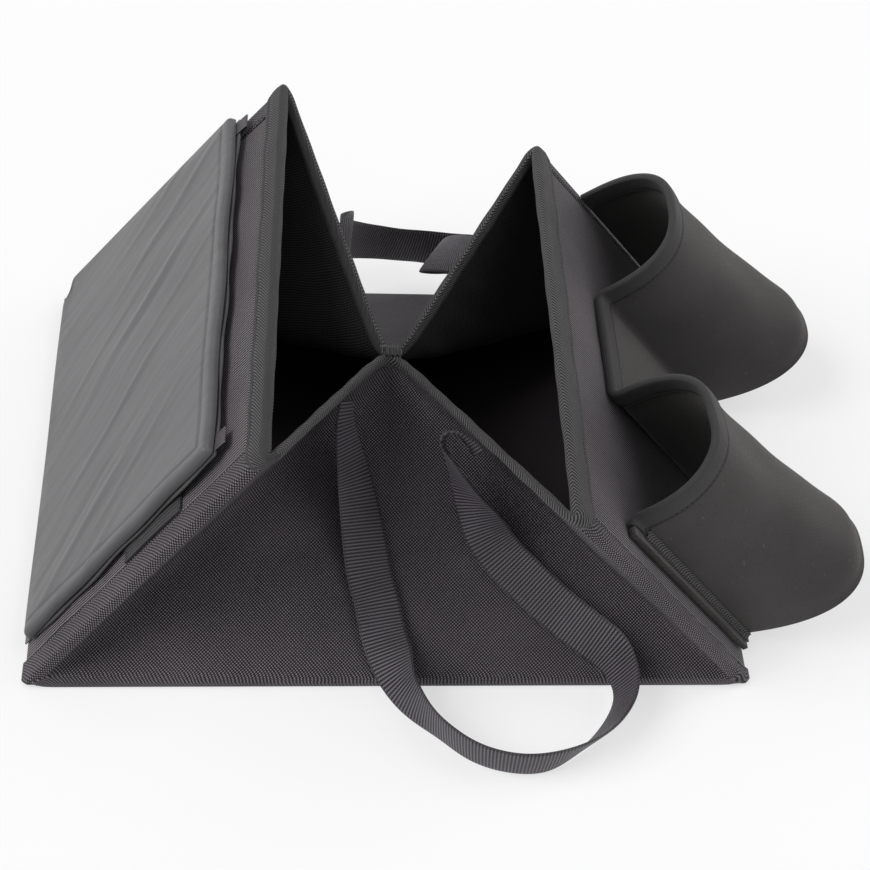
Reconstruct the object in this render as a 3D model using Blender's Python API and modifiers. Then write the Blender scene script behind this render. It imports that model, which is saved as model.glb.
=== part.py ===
"""Collapsible soft-sided car organizer: two boarded walls leaning in over a boarded base,
front and back gussets pinched together in the middle, two webbing handles, a padded flap
on the left wall and two cup pockets on the right wall.

Units are metres. X runs to the right, Y away from the viewer and Z up. The origin is the
middle of the base's underside.
"""
import math

import bmesh
import bpy
import numpy as np
from mathutils import Vector

# Base and walls
BASE_WIDTH = 0.400
BASE_DEPTH = 0.313
WALL_SLANT = 0.203
CLOTH = 0.0010
LINING = 0.0008
BOARD = 0.0016
CLEARANCE = 0.0003
BASE_SIDE_INSET = 0.0060
BASE_END_INSET = 0.0042
WALL_FOOT = 0.0112
SEAM_PLAY = 0.0002

# Each wall's rim corner: lean from the floor, slide along the depth, and slack up the slant
RIM_CORNERS = {
    ("left", "front"): {"lean": 51.8, "slide": 0.0175, "slack": 0.007},
    ("left", "back"): {"lean": 48.5, "slide": 0.0183, "slack": 0.007},
    ("right", "front"): {"lean": 54.9, "slide": -0.0216, "slack": -0.001},
    ("right", "back"): {"lean": 54.4, "slide": -0.0325, "slack": -0.014},
}

# Where the two gussets are drawn together
CENTRE = (0.001, 0.002, 0.099)
CENTRE_GAP = 0.0044
GUSSET_SAG = 0.0040
GUSSET_FOOT = 0.0008
FOLD_LINE = 0.0128
SEAM_ALLOWANCE = 0.0130
FOLD_SOFTNESS = 0.050
FOOT_SOFTNESS = 0.008

# Twill tape over the rim
TAPE = 0.0007
TAPE_LEG = 0.0100
RIM_DROP = 0.0010
# How far from a corner the walls' inner legs and the gussets' tapes begin
INNER_LEG_START = 0.0085
INNER_LEG_GROWTH = 0.0020
GUSSET_TAPE_START = 0.038
TACK = (0.014, 0.0084, 0.0018)
TACK_RISE = 0.0032

# Handles
WEBBING_WIDTH = 0.025
WEBBING = 0.0014

# Padded flap on the left wall
FLAP_FRONT = 0.026
FLAP_BACK_MARGIN = 0.004
FLAP_BOTTOM = 0.0092
FLAP_HEIGHT = 0.1670
FLAP_THICKNESS = 0.0056
FLAP_STANDOFF = 0.0022
FLAP_RISE = 0.0040
FLAP_BOARD = 0.0028
FLAP_LIP = 0.0036
HOOK_STRIP = 0.0012
HOOK_WIDTH = 0.025
HOOK_BELOW_TOP = 0.012
HOOK_END_MARGIN = 0.034
FLAP_TAB = (0.012, 0.016, 0.002)
FLAP_TAB_REACH = 0.007
FLAP_TAB_INSET = 0.002
# The hinge cloth under the flap: where it starts up the wall, and its bend outwards
FLAP_HINGE_START = 0.0015
FLAP_HINGE_BENDS = ((-0.0022, 0.0), (-0.0006, 0.0005), (0.0, 0.0015))
ELASTIC_TAB = (0.0085, 0.046, 0.0012)
ELASTIC_TAB_HEIGHT = 0.092

# Cup pockets on the right wall
CUP_FRONT = 0.032
CUP_WIDTH = 0.094
CUP_WEB = 0.087
CUP_RIM_HEIGHT = 0.148
CUP_FOOT = 0.006
CUP_RIM_DEPTH = 0.057
CUP_FOOT_DEPTH = 0.085
CUP_FLARE = 2.2
CUP_FOOT_SLIDE = 0.020
CUP_SQUARENESS = 2.5
CUP_FILLET = 0.0050
NEOPRENE = 0.0030
CUP_FLANGE = 0.0110
CUP_BACK_SEAT = 0.0018
CUP_BOTTOM = 0.0020
CUP_BOTTOM_PLAY = 0.0008
CUP_TAPE_LEG = 0.0110
SEAM_TAPE = 0.0009
SEAM_TAPE_STEPS = 3

COLLECTION = "car_organizer"


# Scene and materials

def clear_scene():
    for obj in list(bpy.data.objects):
        bpy.data.objects.remove(obj, do_unlink=True)


def material(name, colour, roughness):
    mat = bpy.data.materials.new(name)
    mat.use_nodes = True
    shader = mat.node_tree.nodes["Principled BSDF"]
    shader.inputs["Base Color"].default_value = (*colour, 1.0)
    shader.inputs["Roughness"].default_value = roughness
    shader.inputs["Metallic"].default_value = 0.0
    return mat


CANVAS = ((0.045, 0.043, 0.044), 0.85)
LINING_CLOTH = ((0.012, 0.012, 0.013), 0.80)
TWILL = ((0.065, 0.065, 0.066), 0.80)
WEBBING_LOOK = ((0.050, 0.048, 0.050), 0.65)
NEOPRENE_LOOK = ((0.048, 0.044, 0.041), 0.90)
ELASTIC = ((0.060, 0.060, 0.062), 0.75)
NYLON = ((0.130, 0.130, 0.135), 0.50)
PLASTIC_BOARD = ((0.020, 0.020, 0.020), 0.55)
THREAD = ((0.110, 0.110, 0.115), 0.70)
HOOK_LOOK = ((0.010, 0.010, 0.010), 0.90)


def add_object(name, mesh, look):
    """Put a finished mesh in the organizer's collection under its node name."""
    obj = bpy.data.objects.new(name, mesh)
    bpy.data.collections[COLLECTION].objects.link(obj)
    obj.data.materials.clear()
    obj.data.materials.append(material(name, *look))
    return obj


# The walls' own coordinates

def rim_corner(side, end):
    """A wall's top corner in space, from its lean, slide and slack."""
    outward = -1.0 if side == "left" else 1.0
    corner = RIM_CORNERS[(side, end)]
    lean = math.radians(corner["lean"])
    slant = WALL_SLANT + corner["slack"]
    y_edge = -BASE_DEPTH / 2 if end == "front" else BASE_DEPTH / 2
    x = outward * (BASE_WIDTH / 2 - slant * math.cos(lean))
    return np.array([x, y_edge + corner["slide"], slant * math.sin(lean)])


def foot_corner(side, end):
    """A wall's bottom corner, at the edge of the base."""
    outward = -1.0 if side == "left" else 1.0
    y_edge = -BASE_DEPTH / 2 if end == "front" else BASE_DEPTH / 2
    return np.array([outward * BASE_WIDTH / 2, y_edge, 0.0])


def wall_point(side, along, up, out):
    """A point on a wall: along from its front edge, up its slant, out from its outer face.

    The outer face is the ruled surface through the wall's four corners.
    """
    s = along / BASE_DEPTH
    t = up / WALL_SLANT
    foot_front, foot_back = foot_corner(side, "front"), foot_corner(side, "back")
    rim_front, rim_back = rim_corner(side, "front"), rim_corner(side, "back")
    foot = foot_front * (1 - s) + foot_back * s
    rim = rim_front * (1 - s) + rim_back * s
    run = (foot_back - foot_front) * (1 - t) + (rim_back - rim_front) * t
    normal = np.cross(run, rim - foot)
    normal = normal / np.linalg.norm(normal)
    if (normal[0] > 0) == (side == "left"):
        normal = -normal
    return foot * (1 - t) + rim * t + out * normal


def lay_on_wall(side, point):
    """Map a flat pattern's point (along, up, out) onto a wall."""
    return wall_point(side, point[0], point[1], point[2])


# Ways of making a piece

def evaluated_mesh(obj):
    """The object's mesh with its modifiers applied; the object itself is removed."""
    graph = bpy.context.evaluated_depsgraph_get()
    mesh = bpy.data.meshes.new_from_object(obj.evaluated_get(graph))
    bpy.data.objects.remove(obj, do_unlink=True)
    return mesh


def solidify(obj, thickness, offset):
    shell = obj.modifiers.new("Thickness", "SOLIDIFY")
    shell.thickness = thickness
    shell.offset = offset
    shell.use_even_offset = True
    return evaluated_mesh(obj)


def grid_mesh(name, columns, rows):
    """A flat unit grid, made with Blender's grid primitive, from (0, 0) to (1, 1)."""
    mesh = bpy.data.meshes.new(name)
    bm = bmesh.new()
    bmesh.ops.create_grid(bm, x_segments=columns, y_segments=rows, size=0.5)
    bmesh.ops.translate(bm, verts=bm.verts, vec=Vector((0.5, 0.5, 0.0)))
    bm.to_mesh(mesh)
    bm.free()
    return mesh


def point_outwards(mesh):
    bm = bmesh.new()
    bm.from_mesh(mesh)
    bmesh.ops.recalc_face_normals(bm, faces=bm.faces)
    bm.to_mesh(mesh)
    bm.free()


def cloth(name, columns, rows, surface, thickness, look):
    """A sheet of cloth: a grid laid on surface(i, j), thickened equally to both sides."""
    mesh = grid_mesh(name, columns, rows)
    for vertex in mesh.vertices:
        i = round(vertex.co.x * columns)
        j = round(vertex.co.y * rows)
        vertex.co = Vector(surface(i, j))
    obj = bpy.data.objects.new(name, mesh)
    bpy.data.collections[COLLECTION].objects.link(obj)
    mesh = solidify(obj, thickness, 0.0)
    point_outwards(mesh)
    return add_object(name, mesh, look)


def flat_block(name, low, high, place, look, cuts=(6, 6)):
    """A flat layer between two corners (along, up, out), laid in place by a function."""
    mesh = grid_mesh(name, *cuts)
    size = np.subtract(high, low)
    for vertex in mesh.vertices:
        vertex.co.x = low[0] + vertex.co.x * size[0]
        vertex.co.y = low[1] + vertex.co.y * size[1]
        vertex.co.z = low[2]
    obj = bpy.data.objects.new(name, mesh)
    bpy.data.collections[COLLECTION].objects.link(obj)
    mesh = solidify(obj, size[2], 1.0)
    for vertex in mesh.vertices:
        vertex.co = Vector(place(vertex.co))
    point_outwards(mesh)
    return add_object(name, mesh, look)


def tray(name, low, high, wall, face, place, look, cuts=(6, 6)):
    """A cloth cover wrapped round a board: one face and four edges, open on the other side.

    face says which side is closed, "top" for the high side or "bottom" for the low side.
    """
    mesh = grid_mesh(name, *cuts)
    closed = high[2] if face == "top" else low[2]
    opened = low[2] if face == "top" else high[2]
    size = np.subtract(high, low)
    for vertex in mesh.vertices:
        vertex.co.x = low[0] + vertex.co.x * size[0]
        vertex.co.y = low[1] + vertex.co.y * size[1]
        vertex.co.z = closed
    bm = bmesh.new()
    bm.from_mesh(mesh)
    rim = [edge for edge in bm.edges if edge.is_boundary]
    grown = bmesh.ops.extrude_edge_only(bm, edges=rim)["geom"]
    lowered = [item for item in grown if isinstance(item, bmesh.types.BMVert)]
    bmesh.ops.translate(bm, verts=lowered, vec=Vector((0, 0, opened - closed)))
    bmesh.ops.recalc_face_normals(bm, faces=bm.faces)
    bm.faces.ensure_lookup_table()
    middle = bm.faces[0]
    if (middle.normal.z > 0) != (face == "top"):
        bmesh.ops.reverse_faces(bm, faces=bm.faces)
    bm.to_mesh(mesh)
    bm.free()
    obj = bpy.data.objects.new(name, mesh)
    bpy.data.collections[COLLECTION].objects.link(obj)
    mesh = solidify(obj, wall, -1.0)
    for vertex in mesh.vertices:
        vertex.co = Vector(place(vertex.co))
    point_outwards(mesh)
    return add_object(name, mesh, look)


# Base

def base_extent():
    """Half width and half depth of the boarded base, inside the hinge cloth and gussets."""
    return BASE_WIDTH / 2 - BASE_SIDE_INSET, BASE_DEPTH / 2 - BASE_END_INSET


def build_base():
    half_x, half_y = base_extent()
    board_low = CLOTH + CLEARANCE
    tray_top = board_low + BOARD + CLEARANCE
    inset = CLOTH + CLEARANCE
    same = lambda point: point
    tray("base_cover", (-half_x, -half_y, 0), (half_x, half_y, tray_top), CLOTH, "bottom", same,
         CANVAS, cuts=(2, 2))
    flat_block("base_board", (-half_x + inset, -half_y + inset, board_low),
               (half_x - inset, half_y - inset, board_low + BOARD), same, PLASTIC_BOARD, cuts=(2, 2))
    lining_low = tray_top + CLEARANCE
    flat_block("base_lining", (-half_x, -half_y, lining_low), (half_x, half_y, lining_low + LINING),
               same, LINING_CLOTH, cuts=(2, 2))


# Walls, in along, up and out

WALL_THICKNESS = CLOTH + CLEARANCE + BOARD + CLEARANCE + CLEARANCE + LINING
WALL_END_INSET = CLOTH + CLEARANCE + SEAM_PLAY
WALL_TOP = WALL_SLANT - RIM_DROP - CLEARANCE


def build_wall(side):
    """Outer cover wrapped round a stiff board, with the lining over its inner side."""
    place = lambda point: lay_on_wall(side, point)
    x0, x1 = WALL_END_INSET, BASE_DEPTH - WALL_END_INSET
    inset = CLOTH + CLEARANCE
    lining_out = -WALL_THICKNESS
    tray_out = lining_out + LINING + CLEARANCE
    tray(f"{side}_wall_cover", (x0, WALL_FOOT, tray_out), (x1, WALL_TOP, 0), CLOTH, "top", place, CANVAS)
    flat_block(f"{side}_wall_board", (x0 + inset, WALL_FOOT + inset, -inset - BOARD),
               (x1 - inset, WALL_TOP - inset, -inset), place, PLASTIC_BOARD)
    flat_block(f"{side}_wall_lining", (x0, WALL_FOOT, lining_out),
               (x1, WALL_TOP, lining_out + LINING), place, LINING_CLOTH)


def build_hinge_cloth(side):
    """The strip without a board, where the body cloth folds between base and wall."""
    place = lambda point: lay_on_wall(side, point)
    x0, x1 = WALL_END_INSET, BASE_DEPTH - WALL_END_INSET
    flat_block(f"{side}_hinge_cloth", (x0, CLOTH + CLEARANCE, -CLOTH),
               (x1, WALL_FOOT - CLEARANCE, 0), place, CANVAS, cuts=(6, 1))


# Gussets

PANEL_COLUMNS = 24
PANEL_CROWDING = 1.6
LIP_ROWS = 2
# The panel's rows from the fold line to the rim; the last two are as deep as the rim tape's leg
ROWS_UP = [0.1 * k for k in range(9)] + [0.88, 0.94, 0.97, 1.0]
# The gusset's run round a wall's edge, as (along, out) of the middle of the cloth
WRAP = CLOTH / 2 + CLEARANCE
INNER_TURN = -(WALL_THICKNESS + WRAP)


def wrap_points():
    """Flange on the outer face, then round the wall's edge to its inner side."""
    edge = WALL_END_INSET - WRAP
    return [(SEAM_ALLOWANCE, WRAP), (SEAM_ALLOWANCE / 2, WRAP), (edge + WRAP, WRAP),
            (edge + 0.25 * WRAP, 0.75 * WRAP), (edge, 0.0), (edge, INNER_TURN)]


def from_end(side, end, inset, up, out):
    """A wall point counted from its front or back edge."""
    along = inset if end == "front" else BASE_DEPTH - inset
    return wall_point(side, along, up, out)


def soft_minimum(d, softness):
    """The smaller of d and zero, rounded off over a distance."""
    return -softness * math.log1p(math.exp(-d / softness))


def gusset_corners(end):
    """The panel's fold-line ends, rim corners and pinched middle, at mid-thickness."""
    edge = WALL_END_INSET - WRAP
    foot = {side: from_end(side, end, edge, FOLD_LINE, INNER_TURN) for side in ("left", "right")}
    rim = {side: from_end(side, end, edge, WALL_SLANT - RIM_DROP, INNER_TURN) for side in ("left", "right")}
    towards = -1.0 if end == "front" else 1.0
    target = np.array(CENTRE) + np.array([0, towards * CENTRE_GAP / 2, 0])
    # The soft bend pulls the middle back by this share, so the apex is set past it
    pull = FOLD_SOFTNESS * math.log(2)
    apex = (target - pull * (rim["left"] + rim["right"])) / (1 - 2 * pull)
    return foot, rim, apex


def gusset_panel(end, s, t):
    """A gusset's panel: s from -1 to 1 across, t from 0 at the base to 1 at the rim.

    Three facets meet at soft folds from the bottom corners to the pinched middle.
    """
    foot, rim, apex = gusset_corners(end)
    half = (foot["right"] - foot["left"]) / 2
    middle = (foot["right"] + foot["left"]) / 2
    point = middle + s * half + t * (apex - middle)
    softness = FOOT_SOFTNESS + (FOLD_SOFTNESS - FOOT_SOFTNESS) * t
    point = point + (apex - rim["left"] - half) * soft_minimum(1 + s - t, softness)
    point = point + (apex - rim["right"] + half) * soft_minimum(1 - s - t, softness)
    sag = GUSSET_SAG * 4 * t * (1 - t) * math.cos(s * math.pi / 2)
    return point - np.array([0, 0, sag])


def panel_across(i):
    """Column i's place across the panel, -1 to 1, with the columns crowded to the middle."""
    q = 2 * i / PANEL_COLUMNS - 1
    return math.copysign(abs(q) ** PANEL_CROWDING, q)


def gusset_surface(end):
    """Grid function for a gusset with its flanges, wraps, panel and bottom lip."""
    wrap = wrap_points()

    def side_point(side, k, j):
        inset, out = wrap[k]
        if j < LIP_ROWS:
            q = j / LIP_ROWS
            up = GUSSET_FOOT + (FOLD_LINE - GUSSET_FOOT) * q
            return from_end(side, end, inset, up, max(out * q, out))
        t = ROWS_UP[j - LIP_ROWS]
        up = FOLD_LINE + (WALL_SLANT - RIM_DROP - FOLD_LINE) * t
        return from_end(side, end, inset, up, out)

    def surface(i, j):
        last = 2 * len(wrap) + PANEL_COLUMNS - 2
        if i < len(wrap) - 1:
            return side_point("left", i, j)
        if i > last - len(wrap) + 1:
            return side_point("right", last - i, j)
        s = panel_across(i - len(wrap) + 1)
        if j >= LIP_ROWS:
            return gusset_panel(end, s, ROWS_UP[j - LIP_ROWS])
        edge = WALL_END_INSET - WRAP
        q = j / LIP_ROWS
        left = from_end("left", end, edge, GUSSET_FOOT, 0.0)
        right = from_end("right", end, edge, GUSSET_FOOT, 0.0)
        bottom = left + (right - left) * (s + 1) / 2
        return bottom + (gusset_panel(end, s, 0.0) - bottom) * q

    return surface


def build_gusset(end):
    columns = 2 * len(wrap_points()) + PANEL_COLUMNS - 2
    cloth(f"{end}_gusset", columns, LIP_ROWS + len(ROWS_UP) - 1, gusset_surface(end), CLOTH, CANVAS)


# Rim tape

def tape_profile(half_gap, leg, lift=CLEARANCE):
    """The folded tape's section as (down, sideways): one leg, over the rim, the other leg."""
    top = -(lift + TAPE / 2)
    turned = half_gap - TAPE / 2
    return [(leg, half_gap), (leg / 2, half_gap), (-lift, half_gap), (top, turned),
            (top, -turned), (-lift, -half_gap), (leg / 2, -half_gap), (leg, -half_gap)]


def build_wall_tape(side):
    """Twill tape folded over a wall's top edge; its inner leg stops short of the gussets."""
    outer = CLEARANCE + CLOTH + CLEARANCE + TAPE / 2
    inner = -(WALL_THICKNESS + CLEARANCE + TAPE / 2)
    middle, half_gap = (outer + inner) / 2, (outer - inner) / 2
    full = tape_profile(half_gap, TAPE_LEG)
    grown = INNER_LEG_START + INNER_LEG_GROWTH
    stations = [-CLEARANCE, INNER_LEG_START / 2, INNER_LEG_START, grown]
    stations += [grown + (BASE_DEPTH - 2 * grown) * k / 8 for k in range(1, 8)]
    stations += [BASE_DEPTH - x for x in stations[3::-1]]

    def surface(i, j):
        down, sideways = full[i]
        along = stations[j]
        at_end = min(along, BASE_DEPTH - along) < (INNER_LEG_START + grown) / 2
        if at_end and i > 4:
            down, sideways = full[4][0], full[4][1] - SEAM_PLAY * (i - 4)
        return wall_point(side, along, WALL_SLANT - RIM_DROP - down, middle + sideways)

    cloth(f"{side}_rim_tape", len(full) - 1, len(stations) - 1, surface, TAPE, TWILL)


def even_normals(row, upwards):
    """Sideways vectors along a row of points that keep an even distance round its bends."""
    across = (upwards[:-1] + upwards[1:]) / 2
    sides = np.cross(np.diff(row, axis=0), across)
    sides /= np.linalg.norm(sides, axis=1)[:, None]
    before, after = np.vstack([sides[:1], sides]), np.vstack([sides, sides[-1:]])
    return (before + after) / (1 + np.sum(before * after, axis=1))[:, None]


def build_gusset_tape(end):
    """The same tape along a gusset's top edge, from wall to wall through the pinch.

    It lies parallel to the gusset's own top row of faces.
    """
    half_gap = CLOTH / 2 + 2 * CLEARANCE + TAPE / 2
    profile = tape_profile(half_gap, TAPE_LEG)
    places = [panel_across(i) for i in range(PANEL_COLUMNS + 1)]
    start = GUSSET_TAPE_START / (1 + places[1])
    rows = []
    for t in ROWS_UP[-3:]:
        row = np.array([gusset_panel(end, s, t) for s in places])
        row[0] += (row[1] - row[0]) * start
        row[-1] += (row[-2] - row[-1]) * start
        rows.append(row)
    upwards = rows[2] - rows[0]
    upwards /= np.linalg.norm(upwards, axis=1)[:, None]
    sides = [even_normals(row, upwards) for row in rows]
    # Which row each point of the folded section hangs from, leg by leg
    levels = [0, 1, 2, 2, 2, 2, 1, 0]

    def surface(i, j):
        down, sideways = profile[i]
        point = rows[levels[i]][j] + sides[levels[i]][j] * sideways
        return point - upwards[j] * min(down, 0.0)

    cloth(f"{end}_rim_tape", len(profile) - 1, PANEL_COLUMNS, surface, TAPE, TWILL)


def build_centre_tack():
    """The bar tack that holds the two gussets' rims together."""
    length, width, height = TACK
    low = np.array(CENTRE) + np.array([-length / 2, -width / 2, TACK_RISE])
    flat_block("centre_tack", low, low + np.array(TACK), lambda p: p, THREAD, cuts=(4, 2))


# Handles

def smooth_path(points, count):
    """Evenly spaced points on a Catmull-Rom curve through the given points."""
    p = np.vstack([2 * points[0] - points[1], points, 2 * points[-1] - points[-2]])
    samples = []
    for k in range(1, len(p) - 2):
        for f in np.linspace(0, 1, 24, endpoint=False):
            a = 2 * p[k]
            b = p[k + 1] - p[k - 1]
            c = 2 * p[k - 1] - 5 * p[k] + 4 * p[k + 1] - p[k + 2]
            d = -p[k - 1] + 3 * p[k] - 3 * p[k + 1] + p[k + 2]
            samples.append(0.5 * (a + b * f + c * f * f + d * f ** 3))
    samples.append(points[-1])
    samples = np.array(samples)
    lengths = np.linalg.norm(np.diff(samples[:, :3], axis=0), axis=1)
    travelled = np.concatenate([[0], np.cumsum(lengths)])
    wanted = np.linspace(0, travelled[-1], count + 1)
    return np.array([np.interp(wanted, travelled, samples[:, k]) for k in range(samples.shape[1])]).T


# The handles' routes in millimetres: the webbing's middle, then the way its width points
FRONT_ROUTE = [
    (-24.75, -36.8, 103.65, 0.42, 0.82, -0.39), (-25, -42.5, 88, 0.75, 0.6, -0.25), (-22.5, -51, 73.5, 0.95, 0.25, -0.1),
    (-19, -62, 60, 1.0, 0.0, 0.0),
    (-16, -77.5, 49.5, 1.0, 0.0, 0.0), (-12, -105.5, 35.5, 1.0, 0.0, 0.0), (-8, -119.5, 29.5, 1.0, 0.05, 0.0),
    (-5, -135, 22.5, 0.97, 0.12, 0.08), (-1, -149, 18.5, 0.8, 0.25, 0.35), (3, -162, 15.5, 0.5, 0.25, 0.75),
    (9, -174, 13.8, 0.25, 0.15, 0.95), (22, -191, 13.2, 0.0, -0.15, 0.97),
    (40, -208, 13.2, 0.0, -0.2, 0.98), (60, -216, 13.2, 0.0, -0.2, 0.98), (80, -216, 13.2, 0.0, -0.2, 0.98),
    (98, -208, 13.5, 0.2, -0.2, 0.95), (114, -194, 15, 0.6, -0.2, 0.7), (126, -177, 17, 0.85, 0.0, 0.45),
    (130, -163, 18, 0.8, 0.3, 0.5), (124, -150, 20, 0.5, 0.6, 0.6), (108, -137, 24, 0.35, 0.7, 0.6),
    (86, -121, 31.5, 0.35, 0.7, 0.6), (60, -97, 43, 0.5, 0.65, 0.5), (44, -78, 57, 0.8, 0.35, 0.4),
    (33, -67, 78, 0.75, 0.2, 0.6), (28, -65, 93, 0.5, 0.1, 0.85), (31, -69.5, 102, 0.1, 0.1, 0.95),
    (38.8, -76.2, 102.6, -0.2, 0.14, 0.9), (46.1, -82.3, 101.8, -0.38, 0.14, 0.87),
]
BACK_ROUTE = [
    (-37.1, 70.6, 98.0, 0.67, 0.0, 0.74), (-32, 84, 102.5, 0.7, 0.15, 0.6), (-27, 98, 107, 0.6, 0.35, 0.65),
    (-26, 112, 107, 0.5, 0.4, 0.75),
    (-23, 132, 86, 0.2, 0.4, 0.9), (-16, 156, 55, 0.0, 0.5, 0.85), (-2, 170, 41, 0.0, 0.55, 0.8),
    (14, 178, 33, 0.0, 0.6, 0.8), (28, 182, 26, 0.0, 0.6, 0.8), (37, 180, 22, -0.2, 0.55, 0.8),
    (41, 168, 22, -0.6, 0.4, 0.7), (38, 150, 31, -0.8, 0.3, 0.5), (41, 128, 58, -0.9, 0.15, 0.4),
    (47, 107, 88, -0.95, 0.1, 0.25), (55, 89, 100, -0.75, 0.0, 0.6), (62.3, 76.6, 104.6, -0.49, 0.0, 0.87),
]


def build_handle(name, route):
    path = smooth_path(np.array(route, float), 44)
    tangents = np.gradient(path[:, :3], axis=0)
    tangents /= np.linalg.norm(tangents, axis=1)[:, None]
    widths = path[:, 3:]
    widths = widths - tangents * np.sum(widths * tangents, axis=1)[:, None]
    widths /= np.linalg.norm(widths, axis=1)[:, None]

    def surface(i, j):
        across = (i / 2 - 0.5) * WEBBING_WIDTH
        return path[j, :3] / 1000 + widths[j] * across

    cloth(name, 2, len(path) - 1, surface, WEBBING, WEBBING_LOOK)


# Cup pockets, in the right wall's along, up and out

def cup_spans():
    """Where each cup starts and ends along the wall, front cup first."""
    rear = CUP_FRONT + CUP_WIDTH + CUP_WEB
    return {"front": (CUP_FRONT, CUP_FRONT + CUP_WIDTH), "rear": (rear, rear + CUP_WIDTH)}


CUP_STEPS = 18
FILLET_STEPS = 3
CUP_SEAT = CLEARANCE + TAPE + 2 * CLEARANCE + NEOPRENE / 2


def cup_outline(span, up):
    """A cup's D-shaped section at one height, from end to end, as (along, out).

    It stands out further towards the foot, which also slides to the front.
    """
    share = (1 - (up - CUP_FOOT) / (CUP_RIM_HEIGHT - CUP_FOOT)) ** CUP_FLARE
    depth = CUP_RIM_DEPTH + (CUP_FOOT_DEPTH - CUP_RIM_DEPTH) * share
    middle, half = (span[0] + span[1]) / 2, (span[1] - span[0]) / 2
    start = CUP_SEAT + CUP_FILLET
    points = []
    for k in range(CUP_STEPS + 1):
        angle = math.pi * (1 - k / CUP_STEPS)
        across = math.copysign(abs(math.cos(angle)) ** (2 / CUP_SQUARENESS), math.cos(angle))
        outwards = max(0.0, math.sin(angle)) ** (2 / CUP_SQUARENESS)
        along = middle + half * across - CUP_FOOT_SLIDE * share * outwards
        points.append((along, start + (depth - start) * outwards))
    return points


def fillet(corner, towards):
    """The rounded turn between the wall and a cup's end, from the flange to the cup."""
    turns = [math.pi / 2 * k / FILLET_STEPS for k in range(FILLET_STEPS)]
    return [(corner + towards * CUP_FILLET * (1 - math.sin(a)), CUP_SEAT + CUP_FILLET * (1 - math.cos(a)))
            for a in turns]


def sleeve_path(up):
    """The neoprene's run along the wall at one height: flange, cup, web, cup."""
    front, rear = cup_spans()["front"], cup_spans()["rear"]
    path = [(front[0] - CUP_FLANGE, CUP_SEAT)]
    path += fillet(front[0], -1) + cup_outline(front, up) + fillet(front[1], 1)[::-1]
    path.append(((front[1] + rear[0]) / 2, CUP_SEAT))
    path += fillet(rear[0], -1) + cup_outline(rear, up)
    path.append((rear[1], CUP_BACK_SEAT))
    return path


def beside(path, offset):
    """The path moved sideways by an even distance, outwards from the cups if positive."""
    points = np.array(path)
    edges = np.diff(points, axis=0)
    edges /= np.linalg.norm(edges, axis=1)[:, None]
    sides = np.stack([-edges[:, 1], edges[:, 0]], axis=1)
    before, after = np.vstack([sides[:1], sides]), np.vstack([sides, sides[-1:]])
    mitre = (before + after) / (1 + np.sum(before * after, axis=1))[:, None]
    return points + mitre * offset


def sleeve_heights():
    """The sleeve's rows from its foot to its rim; the last is as deep as its tape's leg."""
    foot_to_tape = np.linspace(CUP_FOOT, CUP_RIM_HEIGHT - CUP_TAPE_LEG, 7)
    return [float(up) for up in foot_to_tape] + [CUP_RIM_HEIGHT]


def build_cup_sleeve():
    """One piece of neoprene sewn to the wall at its ends and between the cups."""
    heights = sleeve_heights()
    paths = [sleeve_path(up) for up in heights]

    def surface(i, j):
        along, out = paths[j][i]
        return wall_point("right", along, heights[j], out)

    cloth("cup_sleeve", len(paths[0]) - 1, len(heights) - 1, surface, NEOPRENE, NEOPRENE_LOOK)


def build_cup_tape():
    """Ribbed elastic folded over the sleeve's top edge, along both cups and the web."""
    half_gap = NEOPRENE / 2 + 2 * CLEARANCE + TAPE / 2
    profile = tape_profile(half_gap, CUP_TAPE_LEG, 2 * CLEARANCE)
    top = sleeve_path(CUP_RIM_HEIGHT)[1:]
    low = sleeve_path(CUP_RIM_HEIGHT - CUP_TAPE_LEG)[1:]

    def surface(i, j):
        down, sideways = profile[i]
        share = max(down, 0.0) / CUP_TAPE_LEG
        along, out = beside(top, sideways)[j] * (1 - share) + beside(low, sideways)[j] * share
        return wall_point("right", along, CUP_RIM_HEIGHT - down, out)

    cloth("cup_rim_tape", len(profile) - 1, len(top) - 1, surface, TAPE, ELASTIC)


def build_cup_bottom(name, span):
    """A cup's flat bottom, a D-shaped outline set in the sleeve's foot."""
    up = CUP_FOOT + CLEARANCE + CUP_BOTTOM
    inset = NEOPRENE / 2 + CUP_BOTTOM_PLAY
    inside = [tuple(point) for point in beside(cup_outline(span, up), -inset)]
    outline = [(inside[0][0], CUP_BACK_SEAT)] + inside + [(inside[-1][0], CUP_BACK_SEAT)]
    curve = bpy.data.curves.new(name, "CURVE")
    curve.dimensions = "2D"
    curve.fill_mode = "BOTH"
    curve.extrude = CUP_BOTTOM / 2
    spline = curve.splines.new("POLY")
    spline.points.add(len(outline) - 1)
    for point, (along, out) in zip(spline.points, outline):
        point.co = (along, out, 0, 1)
    spline.use_cyclic_u = True
    flat = bpy.data.objects.new(name, curve)
    bpy.data.collections[COLLECTION].objects.link(flat)
    mesh = evaluated_mesh(flat)
    bm = bmesh.new()
    bm.from_mesh(mesh)
    bmesh.ops.remove_doubles(bm, verts=bm.verts, dist=0.00005)
    bm.to_mesh(mesh)
    bm.free()
    for vertex in mesh.vertices:
        along, out, height = vertex.co
        vertex.co = Vector(wall_point("right", along, up + height, out))
    point_outwards(mesh)
    add_object(name, mesh, NEOPRENE_LOOK)


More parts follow.
